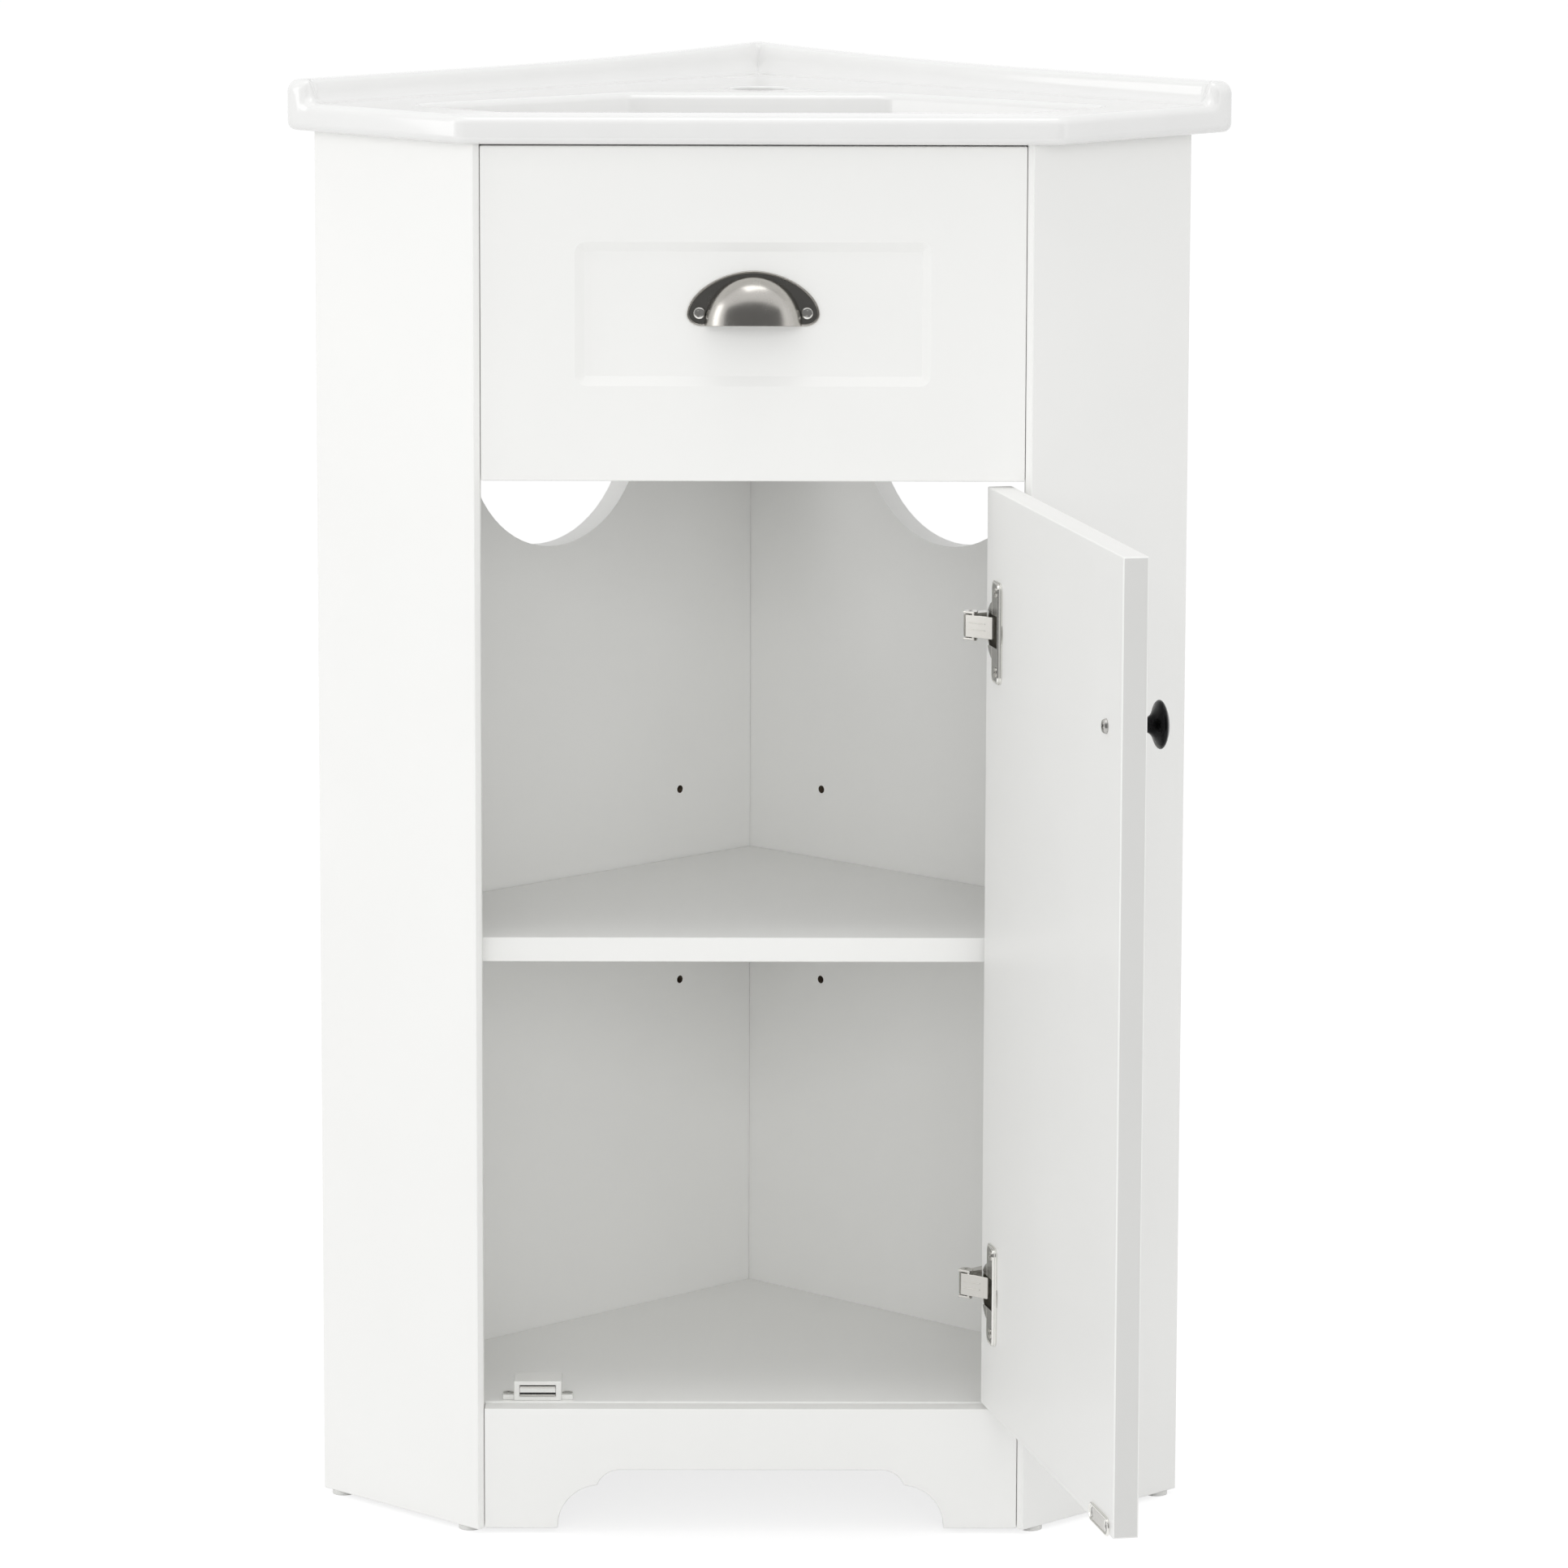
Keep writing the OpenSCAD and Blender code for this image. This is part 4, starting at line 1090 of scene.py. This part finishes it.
class VANITY_OT_finishes(bpy.types.Operator):
    """Makes the node materials of every finish"""

    bl_idname = "vanity.finishes"
    bl_label = "Finishes"

    def execute(self, context):
        sizes, shade = context.scene.vanity_sizes, context.scene.vanity_colours
        glazed_ceramic(shade.glaze, sizes.glaze_wave)
        foil_board("pressed_pvc_foil", shade.foil, sizes.foil_grain)
        # edge band darkened as painted shade on the door's free edge
        foil_board("melamine_edge_band", shade.edge, sizes.foil_grain)
        moulded_plastic("moulded_abs", shade.plastic, 0.36)
        moulded_plastic("moulded_polyethylene", "#e2e2df", 0.48)
        # brush lines 0.4 mm apart, drawn 30 mm long across the dome
        plated_steel("satin_nickel", shade.satin, 0.25, (35, 2500, 2500), 0.000004, 0.02)
        # a darker copy of the satin nickel: painted dark reflection on the pull plate's sunk face
        plated_steel("smoked_nickel", "#9a9894", 0.24, (60, 900, 900), 0.000004, 0.02)
        # roll marks about 1 mm apart, upright on the hinges
        plated_steel("nickel_plate", shade.nickel, 0.2, (1200, 1200, 90), 0.000003, 0.015)
        # a lighter copy of the nickel plate: painted highlight on raised borders and screws
        plated_steel("bright_nickel", "#e9e8e4", 0.2, (1200, 1200, 90), 0.000003, 0.015)
        # a darker copy of the nickel plate: painted shade on the hinge flanges' faces
        plated_steel("dark_nickel", "#a2a19e", 0.24, (90, 90, 1600), 0.000006)
        # tumbled, with no direction
        plated_steel("black_nickel", shade.knob, 0.26, (700, 700, 700), 0.000006, 0.08)
        plated_steel("bright_zinc", shade.zinc, 0.34, (500, 500, 500), 0.00002, 0.07)
        sintered_ferrite()
        raw_fibreboard()
        bare_beech()
        return {"FINISHED"}


class VANITY_OT_stage(bpy.types.Operator):
    """Sets the floor, the studio light and the camera"""

    bl_idname = "vanity.stage"
    bl_label = "Stage"

    # place and size of each lamp, in metres
    lamps = {
        "left_softbox": ((-2.5, -0.35, 1.1), (0.9, 1.8)),
        "top_softbox": ((0.1, -0.25, 2.8), (1.4, 0.8)),
        "right_strip": ((2.4, -0.9, 1.1), (0.3, 1.6)),
        "front_fill": ((0, -4.6, 1.7), (3, 2)),
    }
    aim = Vector((0, 0, 0.45))
    roll = math.radians(-0.173)

    def execute(self, context):
        stage = context.scene.vanity_stage
        self.floor()
        self.world(stage.room_light)
        self.card()
        for name, (place, size) in self.lamps.items():
            self.lamp(name, place, size, getattr(stage, name.split("_")[0] + "_power"))
        self.camera(stage)
        context.scene.view_settings.view_transform = "Standard"
        return {"FINISHED"}

    def camera(self, stage):
        """The camera, turned to the right, dipped and rolled a little."""
        data = bpy.data.cameras.new("camera")
        data.lens, data.sensor_width, data.clip_end = stage.lens, 36.0, 200.0
        camera = placed("camera", data)
        yaw, dip, roll = stage.turn, stage.dip, self.roll
        level = math.cos(dip)
        ahead = Vector((math.sin(yaw) * level, math.cos(yaw) * level, -math.sin(dip)))
        right = Vector((math.cos(yaw), -math.sin(yaw), 0))
        down = ahead.cross(right)
        across = right * math.cos(roll) + down * math.sin(roll)
        axes = Matrix((across, ahead.cross(across) * -1, -ahead)).transposed()
        camera.matrix_world = Matrix.Translation(stage.camera_place) @ axes.to_4x4()
        bpy.context.scene.camera = camera

    def background_seen(self, tree):
        """1 for rays that show the background, straight or in metal and glass, 0 for light."""
        path = add(tree, "LightPath").outputs
        rays = {0: path["Is Glossy Ray"], 1: path["Is Transmission Ray"]}
        shiny = add(tree, "Math", rays, operation="MAXIMUM")
        return add(tree, "Math", {0: path["Is Camera Ray"], 1: shiny}, operation="MAXIMUM")

    def world(self, strength):
        """White background; as a light it has only the strength."""
        world = bpy.data.worlds.new("studio")
        world.use_nodes = True
        tree = world.node_tree
        tree.nodes.clear()
        seen = self.background_seen(tree)
        level = add(tree, "MapRange", {"Value": seen, "To Min": strength, "To Max": 1})
        light = add(tree, "Background", {"Color": linear("#ffffff"), "Strength": level})
        add(tree, "OutputWorld", {"Surface": light})
        bpy.context.scene.world = world

    def plane(self, name, place, size, normal):
        """A flat sheet of the stage."""
        mesh = bmesh.new()
        bmesh.ops.create_grid(mesh, x_segments=1, y_segments=1, size=0.5)
        bmesh.ops.scale(mesh, vec=(*size, 1), verts=mesh.verts)
        move(mesh, facing(place, normal))
        made = placed(name, mesh_data(name, mesh))
        return made

    def floor(self):
        """Pale floor that fades to white to the eye and keeps the unit's soft shadow."""
        made = self.plane("floor", (0, 0, 0), (90, 90), (0, 0, 1))
        tree, _ = material("studio_floor")
        plain = add(tree, "BsdfDiffuse", {"Color": linear("#e6e6e6")})
        pale = add(tree, "BsdfDiffuse", {"Color": linear("#949494")})
        glow = add(tree, "Emission", {"Color": linear("#ffffff"), "Strength": 0.79})
        lit = add(tree, "AddShader", {0: pale, 1: glow})
        mixed = add(tree, "MixShader", {0: self.background_seen(tree), 1: plain, 2: lit})
        add(tree, "OutputMaterial", {"Surface": mixed})
        made.data.materials.append(finishes["studio_floor"])

    def card(self):
        """A dark card that only glossy rays meet: what bright metal mirrors in a studio."""
        made = self.plane("dark_card", (0, -1.6, 1), (5, 2), (0, 1, 0))
        tree, _ = material("studio_card")
        dark = add(tree, "Emission", {"Color": linear("#787878"), "Strength": 1})
        add(tree, "OutputMaterial", {"Surface": dark})
        made.data.materials.append(finishes["studio_card"])
        made.visible_camera = made.visible_diffuse = made.visible_shadow = False
        made.visible_transmission = made.visible_volume_scatter = False

    def lamp(self, name, place, size, watts):
        """A softbox that looks at the unit's middle; metal doesn't mirror the front one."""
        data = bpy.data.lights.new(name, "AREA")
        data.shape, data.size, data.size_y, data.energy = "RECTANGLE", *size, watts
        made = placed(name, data)
        made.location = place
        made.rotation_euler = (self.aim - made.location).to_track_quat("-Z", "Y").to_euler()
        made.visible_glossy = name != "front_fill"


STEPS = (
    VANITY_OT_stage, VANITY_OT_finishes, VANITY_OT_washbasin, VANITY_OT_boards,
    VANITY_OT_drawer_front, VANITY_OT_cup_pull, VANITY_OT_knob, VANITY_OT_hinges, VANITY_OT_catch,
    VANITY_OT_fittings,
)
GROUPS = {
    "vanity_sizes": VanitySizes, "vanity_colours": VanityColours, "vanity_stage": VanityStage,
}


class VANITY_PT_panel(bpy.types.Panel):
    """Lists the steps that dress the vanity unit, with their sizes and colours"""

    bl_idname = "VANITY_PT_panel"
    bl_label = "Corner vanity unit"
    bl_space_type = "VIEW_3D"
    bl_region_type = "UI"
    bl_category = "Vanity"

    def draw(self, context):
        for step in STEPS:
            self.layout.operator(step.bl_idname)
        for group, kind in GROUPS.items():
            part = self.layout.box()
            for name in kind.__annotations__:
                part.prop(getattr(context.scene, group), name)


CLASSES = (*GROUPS.values(), *STEPS, VANITY_PT_panel)


def register():
    """Registers every class and gives the scene the sizes, colours and stage values."""
    for made in CLASSES:
        bpy.utils.register_class(made)
    for name, kind in GROUPS.items():
        setattr(bpy.types.Scene, name, bpy.props.PointerProperty(type=kind))


def unregister():
    """Takes back what register gave."""
    for name in GROUPS:
        delattr(bpy.types.Scene, name)
    for made in reversed(CLASSES):
        bpy.utils.unregister_class(made)


def main():
    """Runs every step in order."""
    register()
    for step in STEPS:
        group, name = step.bl_idname.split(".")
        getattr(getattr(bpy.ops, group), name)()


if __name__ == "__main__":
    main()
